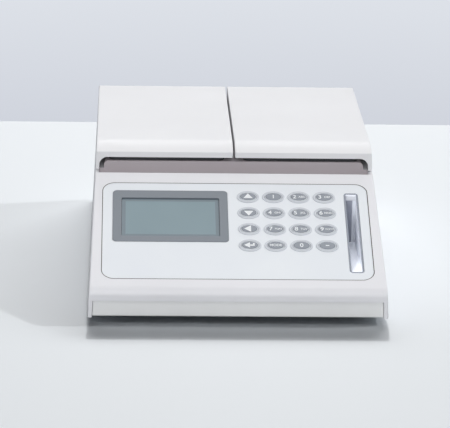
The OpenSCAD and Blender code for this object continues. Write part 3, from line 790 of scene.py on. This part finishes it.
# %% [markdown]
# A key is a small domed oval: a grey top with a darker edge, over a pale flank. A sphere could be
# squashed to it, but layers of an oval give its profile in a few numbers. It is drawn once, and
# copied to each key's place when the prints are ready.

# %% Key pattern
KEY_STEPS = ((0, 0.75), (0.10, 0.95), (0.25, 1.08), (0.55, 1.17), (0.95, 1.24), (1.5, 1.29),
             (2.4, 1.31))
RIM_INSET, EDGE_INSET = 0.55, 0.95
KEY_BASE = -0.70
KEY_TOP = KEY_BASE + KEY_STEPS[-1][1]


def outside(middle, inset):
    """True where a point of the pattern lies outside the oval with this inset."""
    across = middle.x / MM / (KEY_LENGTH / 2 - inset)
    along = middle.y / MM / (KEY_WIDTH / 2 - inset)
    return math.hypot(across, along) > 0.999


def key_zone(middle):
    """0 on the key's top, 1 on the darker edge round it and 2 on the pale flank."""
    if outside(middle, RIM_INSET):
        return 2
    return 1 if outside(middle, EDGE_INSET) else 0


cap = oval("key_pattern", KEY_LENGTH, KEY_WIDTH)
grow(cap, KEY_LENGTH, KEY_WIDTH, KEY_STEPS)
smooth(cap, 50)
for material in (key_grey, key_edge, collar_grey):
    cap.data.materials.append(material)
for face in cap.data.polygons:
    face.material_index = key_zone(face.center)
print("key pattern", sizes(cap), "mm")

# %% [markdown]
# The print on a key is a few hundredths of a millimetre thick. Drawn in the material it would
# need a picture, so it is real lettering: text turned into mesh, triangles for the arrows and
# narrow rectangles for the dash and the bent stem of the enter arrow. The legends are generic
# ones, as on any telephone keypad.

# %% Printed marks
PRINT_THICKNESS, PRINT_SPREAD = 0.02, 0.017
LETTERING_Z, MARK_Z = KEY_TOP + 0.015, KEY_TOP + 0.035
DIGIT_SIZE, LETTER_SIZE, LONG_LETTER_SIZE, WORD_SIZE = 5.2, 2.6, 2.15, 3.1
DIGIT_X, LETTER_X = -3.0, 2.4
TRIANGLE_WIDTH, TRIANGLE_HEIGHT = 1.732, 1.5
LETTERS = {"2": "ABC", "3": "DEF", "4": "GHI", "5": "JKL", "6": "MNO", "7": "PQRS", "8": "TUV", "9": "WXYZ"}
ARROW_TURNS = {"up": 0, "down": 180, "left": 90}


def words(text, size, x, y, z=LETTERING_Z):
    """Flat lettering as a mesh, centred on x, y at height z."""
    bpy.ops.object.select_all(action="DESELECT")
    bpy.ops.object.text_add(location=(0, 0, 0))
    obj = bpy.context.object
    obj.data.body = text
    obj.data.size = size * MM
    obj.data.align_x = "CENTER"
    obj.data.align_y = "CENTER"
    obj.data.extrude = PRINT_THICKNESS * MM
    obj.data.offset = PRINT_SPREAD * size * MM
    bpy.ops.object.convert(target="MESH")
    obj.data.transform(Matrix.Translation((x * MM, y * MM, z * MM)))
    return obj


def arrow(turn, x=0.0, width=6.8, height=5.0):
    """A triangle that points up, turned by an angle in degrees."""
    bpy.ops.object.select_all(action="DESELECT")
    bpy.ops.mesh.primitive_circle_add(vertices=3, radius=1, fill_type="NGON")
    obj = bpy.context.object
    obj.data.transform(Matrix.Diagonal((width / TRIANGLE_WIDTH * MM, height / TRIANGLE_HEIGHT * MM, 1, 1)))
    obj.data.transform(Matrix.Rotation(math.radians(turn), 4, "Z"))
    obj.data.transform(Matrix.Translation((x * MM, 0, MARK_Z * MM)))
    return obj


def bar(x, y, width, height):
    """A small printed rectangle."""
    obj = rectangle(width, height)
    obj.data.transform(Matrix.Translation((x * MM, y * MM, MARK_Z * MM)))
    return obj


def key_print(name):
    """The marks on one key. Bars and arrows are given by place and size in millimetres."""
    if name in LETTERS:
        letters = LETTERS[name]
        small = LETTER_SIZE if len(letters) == 3 else LONG_LETTER_SIZE
        return [words(name, DIGIT_SIZE, DIGIT_X, 0), words(letters, small, LETTER_X, 0)]
    if name in ("0", "1"):
        return [words(name, DIGIT_SIZE, 0, 0)]
    if name == "mode":
        return [words("MODE", WORD_SIZE, 0, 0)]
    if name == "dash":
        return [bar(0, 0, 2.6, 0.9)]
    if name == "enter":
        return [arrow(90, -1.5, 5.4, 4.3), bar(1.7, -0.2, 3.2, 1.5), bar(2.7, 1.1, 1.2, 1.9)]
    return [arrow(ARROW_TURNS[name], -0.4 if name == "left" else 0)]


# %% [markdown]
# Sixteen keys stand in four rows of four. Each is a copy of the pattern with a mesh of its own, and
# its print rides on the same body, so that it goes down with the key.

# %% Keys
KEY_NAMES = ("up", "1", "2", "3", "down", "4", "5", "6",
             "left", "7", "8", "9", "enter", "mode", "0", "dash")


def key_place(index):
    """Place of a key across and down the panel, counted along the rows."""
    row, column = divmod(index, KEYS_IN_ROW)
    return FIRST_KEY_X + column * KEY_STEP_X, FIRST_KEY_T + row * KEY_STEP_T


def join(pieces, name):
    """Joins pieces to one object with this name."""
    bpy.ops.object.select_all(action="DESELECT")
    for piece in pieces:
        piece.select_set(True)
    bpy.context.view_layer.objects.active = pieces[0]
    if len(pieces) > 1:
        bpy.ops.object.join()
    pieces[0].name = name
    return pieces[0]


for index, name in enumerate(KEY_NAMES):
    x, t = key_place(index)
    body = "key_" + name
    key = copy_of(cap.data, body + "_cap", on_panel(x, t, KEY_BASE))
    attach(key, body)
    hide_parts(body)
    marks = join(key_print(name), body + "_print")
    lay_on_panel(marks, x, t)
    finish_piece(marks, body, print_white)
bpy.data.objects.remove(cap)
print(len(KEY_NAMES), "keys")

# %% [markdown]
# The display: a grey frame with softened edges, and in it a stepped glass that fills the window
# to just under the frame's face. A copy of the CAD glass has no step to part its border from the
# dots. So the glass grows from one plane: extrude for the flange, inset and extrude for the step,
# and inset again, so that the picture area has its own finish.

# %% Display
FRAME_HEIGHT = 0.3
WINDOW_X, WINDOW_T = -46.75, 47.25
GLASS_LENGTH, GLASS_WIDTH = 72.4, 42.4
FLANGE, BORDER = 1.5, 2.6
GLASS_BACK, FLANGE_OUT, GLASS_OUT = -4.0, -2.6, -0.75

bezel = cad_copy("display_frame", "display_bezel")
round_edges(bezel, higher_than(FRAME_HEIGHT - 0.05), 0.28)
smooth(bezel, 40)
finish_piece(bezel, "housing", frame_grey, ["display_frame"])

glass = rectangle(GLASS_LENGTH, GLASS_WIDTH)
glass.name = "display_glass"
edit(glass)
for rise, inset in ((FLANGE_OUT - GLASS_BACK, FLANGE), (GLASS_OUT - FLANGE_OUT, BORDER)):
    bpy.ops.mesh.extrude_region_move(TRANSFORM_OT_translate={"value": (0, 0, rise * MM)})
    bpy.ops.mesh.inset(thickness=inset * MM)
close_edit()
lay_on_panel(glass, WINDOW_X, WINDOW_T, GLASS_BACK)
finish_piece(glass, "housing", display_border_and_shade, ["display_lens"])
glass.data.materials.append(display_ground)
for face in glass.data.polygons:
    x, t, out = flat(face.center / MM)
    if near(out, GLASS_OUT) and near(x, WINDOW_X) and near(t, WINDOW_T):
        face.material_index = 1
print("display", len(glass.data.polygons), "faces")

# %% [markdown]
# Between the panel skin and its recess runs a narrow gap in shade, which shows as a thin brownish
# line, darker along its top and right. A real groove would be too narrow to catch enough shade, so
# the shade is painted on a ring just over the surface, shifted a little up the slope and to the
# right: a rectangle with rounded corners, inset, with its middle removed.

# %% Gap round the panel skin
SKIN_WIDTH, SKIN_LENGTH, SKIN_T, SKIN_CORNER = 190.7, 98.895, 11.65, 9
# The ring of painted shade is shifted a little to the right and up the slope, where the shade is wider.
GAP_GROWTH, GAP_WIDTH, GAP_SHADE_SHIFT, GAP_OUT = 0.95, 0.5, 0.1, 0.02
seam = rectangle(SKIN_WIDTH + GAP_GROWTH, SKIN_LENGTH + GAP_GROWTH)
seam.name = "panel_gap"
edit(seam)
bpy.ops.mesh.bevel(offset=SKIN_CORNER * MM, segments=12, affect="VERTICES")
bpy.ops.mesh.inset(thickness=GAP_WIDTH * MM)
bpy.ops.mesh.delete(type="FACE")
leave_edit()
lay_on_panel(seam, GAP_SHADE_SHIFT, SKIN_T + SKIN_LENGTH / 2 - GAP_SHADE_SHIFT, GAP_OUT)
finish_piece(seam, "housing", gap_painted_shade)
print("gap", sizes(seam), "mm")

# %% [markdown]
# The trough is a narrow moulded pocket with a level floor. Its rim is grey, a grey ledge leads in
# from the rear, and its upright back wall carries painted shade, dark at the left and paler at the
# right. The rest of the inside stays pale. The walls are CAD faces already, so they only need a
# finish each.

# %% Trough
LEDGE_END_T = 32


def pocket_zone(face):
    """1 on the rim, 2 on the upright back wall with its painted shade, 3 on the ledge and 0 on the rest."""
    x, t, out = flat(face.center / MM)
    if face.normal.y < -MOSTLY and out < -1:
        return 2
    if -3 < out < -0.5 and face.normal.z > 0.85 and t < LEDGE_END_T:
        return 3
    return 1 if out > -0.02 else 0


trough = cad_copy("trough_insert", "trough_liner")
round_edges(trough, higher_than(0.15), 0.18, 2)
smooth(trough, 40)
finish_piece(trough, "housing", trough_grey, ["trough_insert"])
for material in (trough_rim, pocket_wall_shade, ledge_grey):
    trough.data.materials.append(material)
for face in trough.data.polygons:
    face.material_index = pocket_zone(face)
print("trough", len(trough.data.polygons), "faces")

# %% [markdown]
# The parts behind, below and under the lids keep their CAD shapes. One helper dresses such a
# part: it copies the node, rounds the edges that a moulded or machined part has rounded, and
# gives each group of faces, such as a contact or an insert, its own finish.

# %% Dressed copies


def every_edge(middle, along):
    return True


def dressed(node, body, main, edges, radius, parts=(), segments=2):
    """A copy of a CAD node with rounded edges and a finish for each (material, test) group."""
    piece = cad_copy(node, node + "_dressed")
    round_edges(piece, edges, radius, segments)
    smooth(piece, 34)
    finish_piece(piece, body, main, [node])
    for number, (material, test) in enumerate(parts, 1):
        piece.data.materials.append(material)
        for face in piece.data.polygons:
            if test(face.center / MM, face.normal):
                face.material_index = number


# %% [markdown]
# The rear panel is powder-coated steel. It carries a rocker switch, the round power inlet, a
# square data socket and a nine-pin socket. Their shells are nickel plated, the contacts gilt, and
# the inserts black or white plastic. Separate meshes for the contacts would double the solids that
# the CAD model has, so their faces are found by their place round each socket's axis.

# %% Rear panel and sockets
PORT_Y, PORT_Z = 137, 29
SWITCH_X, JACK_X, DATA_X, SERIAL_X = 50, 24, 0, -38
PIN_STEP, PIN_ROW, PIN_REACH = 2.77, 1.42, 0.62
INSERT_OUT, INSERT_HALF = 1.2, 8.3
TONGUE_HALF_X, TONGUE_HALF_Z = 2.9, 1.7
JACK_PIN_REACH = 1.2
nickel = metal("nickel_plate", srgb(206, 205, 200), 0.24, grain=1400.0)
gilt = metal("gilt_contact", srgb(216, 182, 108), 0.22, grain=2000.0)
insert_white = moulded("insert_white", srgb(222, 222, 218), grain=2600.0, roughness=0.4)
rocker_black = moulded("rocker_black", srgb(26, 26, 28), grain=3000.0, roughness=0.28)


def standing_out(reach):
    """Test for the edges that stand out of the rear panel by more than this."""
    return lambda middle, along: middle.y > PORT_Y + reach


def jack_pin(middle, normal):
    return math.hypot(middle.x - JACK_X, middle.z - PORT_Z) < JACK_PIN_REACH


def tongue(middle, normal):
    return abs(middle.x - DATA_X) < TONGUE_HALF_X and abs(middle.z - PORT_Z) < TONGUE_HALF_Z


def pin_faces(middle, normal):
    """Faces of the nine pins: five in the upper row and four in the lower one."""
    across = middle.x - SERIAL_X
    upper = min(abs(across - i * PIN_STEP) for i in (-2, -1, 0, 1, 2))
    lower = min(abs(across - i * PIN_STEP) for i in (-1.5, -0.5, 0.5, 1.5))
    from_upper = math.hypot(upper, middle.z - PORT_Z - PIN_ROW)
    from_lower = math.hypot(lower, middle.z - PORT_Z + PIN_ROW)
    return middle.y > PORT_Y + INSERT_OUT + 0.1 and min(from_upper, from_lower) < PIN_REACH


def insert_floor(middle, normal):
    level = near(middle.y, PORT_Y + INSERT_OUT) and normal.y > MOSTLY
    return level and abs(middle.x - SERIAL_X) < INSERT_HALF


dressed("rear_panel", "housing", panel_steel, every_edge, 0.2)
dressed("power_switch", "housing", black_plastic, standing_out(0.5), 0.4)
dressed("power_rocker", "power_rocker", rocker_black, every_edge, 0.35)
dressed("dc_jack", "housing", black_plastic, standing_out(1.5), 0.35, [(nickel, jack_pin)])
dressed("usb_port", "housing", nickel, standing_out(0.5), 0.25, [(insert_white, tongue)])
dressed("serial_port", "housing", nickel, standing_out(0.5), 0.15,
        [(black_plastic, insert_floor), (gilt, pin_faces)], segments=1)

# %% [markdown]
# The rocker is marked with a line for ON and a ring for OFF. Both are thin white prints that
# tilt with it. From behind, left and right change places, so the marks are laid out flat first
# and then turned to face the rear.

# %% Marks on the rocker
FACING_REAR = Matrix(((-1, 0, 0, 0), (0, 0, 1, 0), (0, 1, 0, 0), (0, 0, 0, 1)))
PIN_DEPTH, FACE_REACH = 7.4, 6.84
ROCKER_PIN = Vector((SWITCH_X * MM, (PORT_Y - PIN_DEPTH) * MM, PORT_Z * MM))
REST_TURN, PADDLE_TURN = -9, 14
MARK_SIZE, MARK_WIDTH, MARK_X = 3.4, 0.6, 5.4


def ring(outer, inner):
    """A flat printed ring: an oval, inset, with its middle removed."""
    obj = oval("ring", outer, outer)
    edit(obj)
    bpy.ops.mesh.inset(thickness=(outer - inner) / 2 * MM)
    bpy.ops.mesh.delete(type="FACE")
    leave_edit()
    return obj


def on_rocker(obj, x, tilt):
    """Lays a flat mark on one paddle of the rocker, which rests at an angle."""
    rest = Matrix.Rotation(math.radians(REST_TURN), 4, "Z")
    paddle = Matrix.Rotation(math.radians(tilt), 4, "Z")
    place = Matrix.Translation((x * MM, FACE_REACH * MM, 0))
    obj.data.transform(Matrix.Translation(ROCKER_PIN) @ rest @ place @ paddle @ FACING_REAR)
    obj.matrix_world = Matrix.Identity(4)


on_mark = bar(0, 0, MARK_WIDTH, MARK_SIZE)
off_mark = ring(MARK_SIZE, MARK_SIZE - 2 * MARK_WIDTH)
on_mark.data.transform(Matrix.Translation((0, 0, -MARK_Z * MM)))
on_rocker(on_mark, MARK_X, PADDLE_TURN)
on_rocker(off_mark, -MARK_X, -PADDLE_TURN)
rocker_marks = join([on_mark, off_mark], "rocker_marks")
finish_piece(rocker_marks, "power_rocker", print_white)
print("rocker marks", sizes(rocker_marks), "mm")

# %% [markdown]
# The feet are soft rubber pads pressed into shallow seats in the tray. One is grown from a disc,
# downwards, with a rounded rim and a dished sole, and copied to the four corners of the node's box.

# %% Feet
FOOT_RADIUS = 8
FOOT_STEPS = ((0, -4.3), (0.12, -4.7), (0.45, -5.1), (1.0, -5.38), (1.7, -5.49), (3.0, -5.49),
              (3.5, -5.2), (4.2, -4.9), (6.0, -4.85))


def corners(node, inset):
    """The four corners of a node's box seen from above, moved in by the inset."""
    low, high = node_box(node)
    return [(x, y) for x in (low.x + inset, high.x - inset) for y in (low.y + inset, high.y - inset)]


pad = oval("foot_pattern", 2 * FOOT_RADIUS, 2 * FOOT_RADIUS, points=64)
grow(pad, 2 * FOOT_RADIUS, 2 * FOOT_RADIUS, FOOT_STEPS)
smooth(pad, 40)
seat_z = node_box("rubber_feet")[1].z
pads = [copy_of(pad.data, "foot", Matrix.Translation((x * MM, y * MM, seat_z * MM)))
        for x, y in corners("rubber_feet", FOOT_RADIUS)]
bpy.data.objects.remove(pad)
feet = finish_piece(join(pads, "feet"), "housing", rubber, ["rubber_feet"])
print("feet", sizes(feet), "mm")

# %% [markdown]
# Screws have pan heads with a cross recess. The head is grown like the foot, the recess is a cube
# whose four sides are extruded outwards, and a boolean modifier cuts it out. Every screw has its
# slot at another angle, as screws stop where they are tight.

# %% Screw pattern
HEAD_RADIUS, SHANK_RADIUS = 2.8, 1.5
HEAD_STEPS = ((0, 0.35), (0.024, 0.7), (0.048, 0.9), (0.1, 1.0))
TIP_CHAMFER, TIP_INSET = 0.5, 0.45
CROSS_WIDTH, CROSS_DEPTH, CROSS_ARM = 0.75, 1.3, 0.95


def reach_along(face, direction):
    """How far out a face lies in a direction. Of two as far, the one that looks that way wins."""
    return face.calc_center_median().dot(direction) + 0.001 * face.normal.dot(direction)


def cross_cutter(z):
    """A cube with four arms, centred at this height."""
    bpy.ops.mesh.primitive_cube_add(size=1, location=(0, 0, z * MM))
    cross = bpy.context.object
    cross.scale = (CROSS_WIDTH * MM, CROSS_WIDTH * MM, CROSS_DEPTH * MM)
    bpy.ops.object.transform_apply(location=True, rotation=True, scale=True)
    for direction in (Vector((1, 0, 0)), Vector((-1, 0, 0)), Vector((0, 1, 0)), Vector((0, -1, 0))):
        edit(cross, "DESELECT")
        bpy.ops.mesh.select_mode(type="FACE")
        mesh = bmesh.from_edit_mesh(cross.data)
        end = max(mesh.faces, key=lambda face: reach_along(face, direction))
        end.select = True
        bmesh.update_edit_mesh(cross.data)
        arm = direction * CROSS_ARM * MM
        bpy.ops.mesh.extrude_region_move(TRANSFORM_OT_translate={"value": arm})
        leave_edit()
    return cross


def screw(name, head_height, shank_length):
    """A pan-head screw that points down, with its head's underside at the origin."""
    size = 2 * HEAD_RADIUS
    head = oval(name, size, size, points=40)
    grow(head, size, size, [(inset * size, rise * head_height) for inset, rise in HEAD_STEPS])
    shank = oval(name + "_shank", 2 * SHANK_RADIUS, 2 * SHANK_RADIUS, points=24)
    grow(shank, 2 * SHANK_RADIUS, 2 * SHANK_RADIUS,
         ((0, TIP_CHAMFER - shank_length), (TIP_INSET, -shank_length)))
    cross = cross_cutter(head_height)
    only(head)
    cut = head.modifiers.new("recess", "BOOLEAN")
    cut.object = cross
    cut.operation = "DIFFERENCE"
    bpy.ops.object.modifier_apply(modifier=cut.name)
    bpy.data.objects.remove(cross)
    return smooth(join([head, shank], name), 40)


# %% [markdown]
# Four screws hold the tray to the cover, from below, and four hold the main board, from above. Each
# set is one CAD node, so its copies are joined to one piece. Their heads stay a hair lower than
# the solids', inside the model's own box.

# %% Screws
UPSIDE_DOWN = Matrix.Rotation(math.pi, 4, "X")
UPRIGHT = Matrix.Identity(4)
CASE_HEAD, BOARD_HEAD, HAIR = 1.3, 1.6, 0.02
FIRST_SLOT, SLOT_STEP = 17, 31


def screw_set(pattern, node, z, turn, name):
    """Copies of a screw at the corners of a node's box, joined to one piece that stands for it."""
    made = []
    for index, (x, y) in enumerate(corners(node, HEAD_RADIUS)):
        spin = Matrix.Rotation(math.radians(FIRST_SLOT + SLOT_STEP * index), 4, "Z")
        place = Matrix.Translation(Vector((x, y, z)) * MM)
        made.append(copy_of(pattern.data, name, place @ turn @ spin))
    bpy.data.objects.remove(pattern)
    return finish_piece(join(made, name), "housing", zinc_steel, [node])


case_low, case_high = node_box("case_screws")
board_low, board_high = node_box("board_screws")
case_screw = screw("case_screw", CASE_HEAD - HAIR, case_high.z - case_low.z - CASE_HEAD)
case_set = screw_set(case_screw, "case_screws", case_low.z + CASE_HEAD, UPSIDE_DOWN, "case_screw_set")
board_screw = screw("board_screw", BOARD_HEAD - HAIR, board_high.z - board_low.z - BOARD_HEAD)
board_set = screw_set(board_screw, "board_screws", board_high.z - BOARD_HEAD, UPRIGHT, "board_screw_set")
print("screws", len(case_set.data.polygons), "and", len(board_set.data.polygons), "faces")

# %% [markdown]
# Under the lids lie two heat blocks of blasted aluminium, milled with a small chamfer round the
# top and round each pocket. Foam trays hold them, and the lids close on them with pale liners and
# silicone gaskets. The pockets are numbered, as on any tube block, in black paint.

# %% Heated bays
POCKETS, POCKET_STEP = 5, 23
NUMBER_SIZE, NUMBER_INSET, NUMBER_OUT = 6.5, 11, 0.02
LINER_TOP_Z = 87.6
ink_black = moulded("ink_black", srgb(40, 41, 44), grain=3000.0, roughness=0.5)


def level_edge(middle, along):
    return abs(along.z) < 0.3


def liner_edge(middle, along):
    return middle.z < LINER_TOP_Z


for side in SIDES:
    low, high = node_box(side + "_block")
    dressed(side + "_block", "housing", blasted_aluminium,
            lambda middle, along: near(middle.z, high.z), 0.55)
    dressed(side + "_insulation", "housing", foam, level_edge, 0.8)
    dressed(side + "_liner", side + "_lid", liner_pale, liner_edge, 0.5)
    dressed(side + "_gasket", side + "_lid", silicone, every_edge, 0.7)
    first = 1 if side == "left" else POCKETS + 1
    numbers = []
    for index in range(POCKETS):
        y = (low.y + high.y) / 2 + (POCKETS // 2 - index) * POCKET_STEP
        numbers.append(words(str(first + index), NUMBER_SIZE, low.x + NUMBER_INSET, y, high.z + NUMBER_OUT))
    finish_piece(join(numbers, side + "_numbers"), "housing", ink_black)
    print(side, "block", [round(v, 1) for v in (*low, *high)])

# %% [markdown]
# Circuit boards carry black packages and sleeved capacitors with bright tops. Only their edges
# and finishes differ from the CAD solids, which are plain. Later tests win over earlier ones, so
# a capacitor's top is tested last.

# %% Boards and small parts
BOARD_TOP = 17.6
CAN_X = 42
can_sleeve = moulded("can_sleeve", srgb(38, 46, 66), grain=1500.0, roughness=0.32)


def on_board(middle, normal):
    return middle.z > BOARD_TOP + 0.1


def can_side(middle, normal):
    return on_board(middle, normal) and middle.x > CAN_X


def can_top(middle, normal):
    return can_side(middle, normal) and normal.z > 0.8


def package_edge(middle, along):
    return middle.z > BOARD_TOP + 0.3


dressed("main_board", "housing", board_green, package_edge, 0.3,
        [(black_plastic, on_board), (can_sleeve, can_side), (zinc_steel, can_top)])
dressed("buzzer", "housing", black_plastic, level_edge, 0.4)

# %% [markdown]
# Some CAD nodes are hidden so deep inside that their shapes need no more detail. They stay as they
# are, and only get a finish in place of their plain colour.

# %% Finishes of the remaining CAD nodes
NODE_FINISH = {
    "display_module": board_green, "key_board": board_green,
    "key_domes": zinc_steel, "block_posts": tray_white,
}
for side in SIDES:
    NODE_FINISH[side + "_heater"] = heater_film
    NODE_FINISH[side + "_sensors"] = board_green
    NODE_FINISH[side + "_pin"] = zinc_steel
for node, material in NODE_FINISH.items():
    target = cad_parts[node]
    target.data.materials.clear()
    target.data.materials.append(material)
print(len(NODE_FINISH), "nodes finished")

# %% [markdown]
# The stage is a pale table whose back edge shows behind the object. A curved sweep is the usual
# studio floor, but here the table's edge is seen against the wall, so it is a plain plane.

# %% Table
TABLE_HALF_WIDTH, TABLE_FRONT, TABLE_BACK = 3, -3.2, 0.377

bpy.ops.mesh.primitive_plane_add(size=1, location=(0, (TABLE_FRONT + TABLE_BACK) / 2, 0))
table = bpy.context.object
table.name = "table"
table.scale = (2 * TABLE_HALF_WIDTH, TABLE_BACK - TABLE_FRONT, 1)
bpy.ops.object.transform_apply(location=True, rotation=True, scale=True)
table_finish = Finish("table_top", srgb(232, 237, 241), 0.55)
table.data.materials.append(table_finish.material)
print("table", [round(v, 2) for v in table.dimensions], "m")

# %% [markdown]
# Behind the table is a plain wall, a little paler towards the top. A plane would catch the lamps'
# light and shadows, so the wall is painted on the world instead. Only camera, glossy and
# transmission rays see it, so that gloss and glass show it too and it adds no light. All other
# rays see a dim room, which fills the shadows a little.

# %% Room and backdrop
ROOM_COLOR, ROOM_LEVEL = (0.97, 0.98, 1.0, 1.0), 0.05
FADE_HEIGHT, FADE_SOFT = -0.245, 0.023
WALL_LOW, WALL_HIGH = srgb(208, 212, 221), srgb(221, 225, 232)

world = bpy.data.worlds.new("studio")
bpy.context.scene.world = world
world.use_nodes = True
for old in list(world.node_tree.nodes):
    world.node_tree.nodes.remove(old)
sky = Nodes(world.node_tree)
direction = sky.node("ShaderNodeTexCoord", out="Generated")
height = sky.node("ShaderNodeSeparateXYZ", None, {"Vector": direction}, out="Z")
wall_tone = sky.mix(height.above(FADE_HEIGHT, FADE_SOFT), WALL_LOW, WALL_HIGH)
backdrop = sky.node("ShaderNodeBackground", None, {"Color": wall_tone, "Strength": 1.0})
room = sky.node("ShaderNodeBackground", None, {"Color": ROOM_COLOR, "Strength": ROOM_LEVEL})
seen = sky.node("ShaderNodeLightPath", out="Is Camera Ray")
for ray in ("Is Glossy Ray", "Is Transmission Ray"):
    seen = seen.math("MAXIMUM", seen, sky.node("ShaderNodeLightPath", out=ray))
blend = sky.node("ShaderNodeMixShader", None, {0: seen, 1: room, 2: backdrop})
output = world.node_tree.nodes.new("ShaderNodeOutputWorld")
sky.put(output.inputs["Surface"], blend)
print("world", len(world.node_tree.nodes), "nodes")

# %% [markdown]
# The photograph has two soft shadows: a long one to the left of the object and a broad one in front
# of it. One lamp can't give both without making the white housing too bright or too dark. Light
# linking says what each lamp lights, so some lamps here light the table alone and some light
# everything but the table. One small lamp lights the pocket alone, whose inside is lighter in the
# photograph than the shared lamps make it.

# %% Lamps


def lamp_object(name, lamp, shine):
    """Puts a lamp in the scene, turned to shine in a direction."""
    obj = bpy.data.objects.new(name, lamp)
    bpy.context.scene.collection.objects.link(obj)
    obj.rotation_euler = Vector(shine).to_track_quat("-Z", "Y").to_euler()
    return obj


def sunlight(name, shine, strength, spread):
    """A far lamp that shines in a direction, with its angle of spread in degrees."""
    lamp = bpy.data.lights.new(name, "SUN")
    lamp.energy = strength
    lamp.angle = math.radians(spread)
    return lamp_object(name, lamp, shine)


def softbox(name, toward, away, size, watts):
    """An area lamp that far away in a direction, turned to face the object."""
    lamp = bpy.data.lights.new(name, "AREA")
    lamp.shape = "RECTANGLE"
    lamp.size, lamp.size_y = size
    lamp.energy = watts
    obj = lamp_object(name, lamp, -Vector(toward))
    obj.location = Vector(toward).normalized() * away
    return obj


def link_light(lamp, state, target=table):
    """INCLUDE lights the target alone, EXCLUDE lights everything but the target."""
    group = bpy.data.collections.new(lamp.name + "_link")
    group.objects.link(target)
    group.collection_objects[0].light_linking.link_state = state
    lamp.light_linking.receiver_collection = group


REAR_SIDE = (0.15, 0.79, 0.60)
REAR_SIZE = (3.5, 1.1)
sunlight("side_light", (-1.5, -0.28, -1.0), strength=0.84, spread=2.5)
link_light(sunlight("back_sun", (-0.05, -1.34, -1.0), strength=0.78, spread=1.5), "INCLUDE")
link_light(softbox("back_light", REAR_SIDE, away=4.0, size=REAR_SIZE, watts=101), "INCLUDE")
link_light(softbox("rear_fill", REAR_SIDE, away=4.0, size=REAR_SIZE, watts=48), "EXCLUDE")
link_light(softbox("overhead", (0.05, 0.15, 1.0), away=3.0, size=(2.6, 2.6), watts=34), "EXCLUDE")
link_light(softbox("high_front", (0.0, -1.0, 0.9), away=4.0, size=(1.5, 1.5), watts=25), "EXCLUDE")
link_light(softbox("front_light", (-0.1, -1.0, 0.35), away=4.0, size=(2.5, 0.8), watts=59), "EXCLUDE")
pocket_lamp = softbox("trough_light", (-0.5, -0.42, 0.75), away=2.0, size=(0.9, 0.9), watts=30)
link_light(pocket_lamp, "INCLUDE", trough)
print(len(bpy.data.lights), "lamps")

# %% [markdown]
# The Standard view shows each colour as it is written. Nothing here may make the object
# larger.

# %% Colour view
bpy.context.scene.view_settings.view_transform = "Standard"
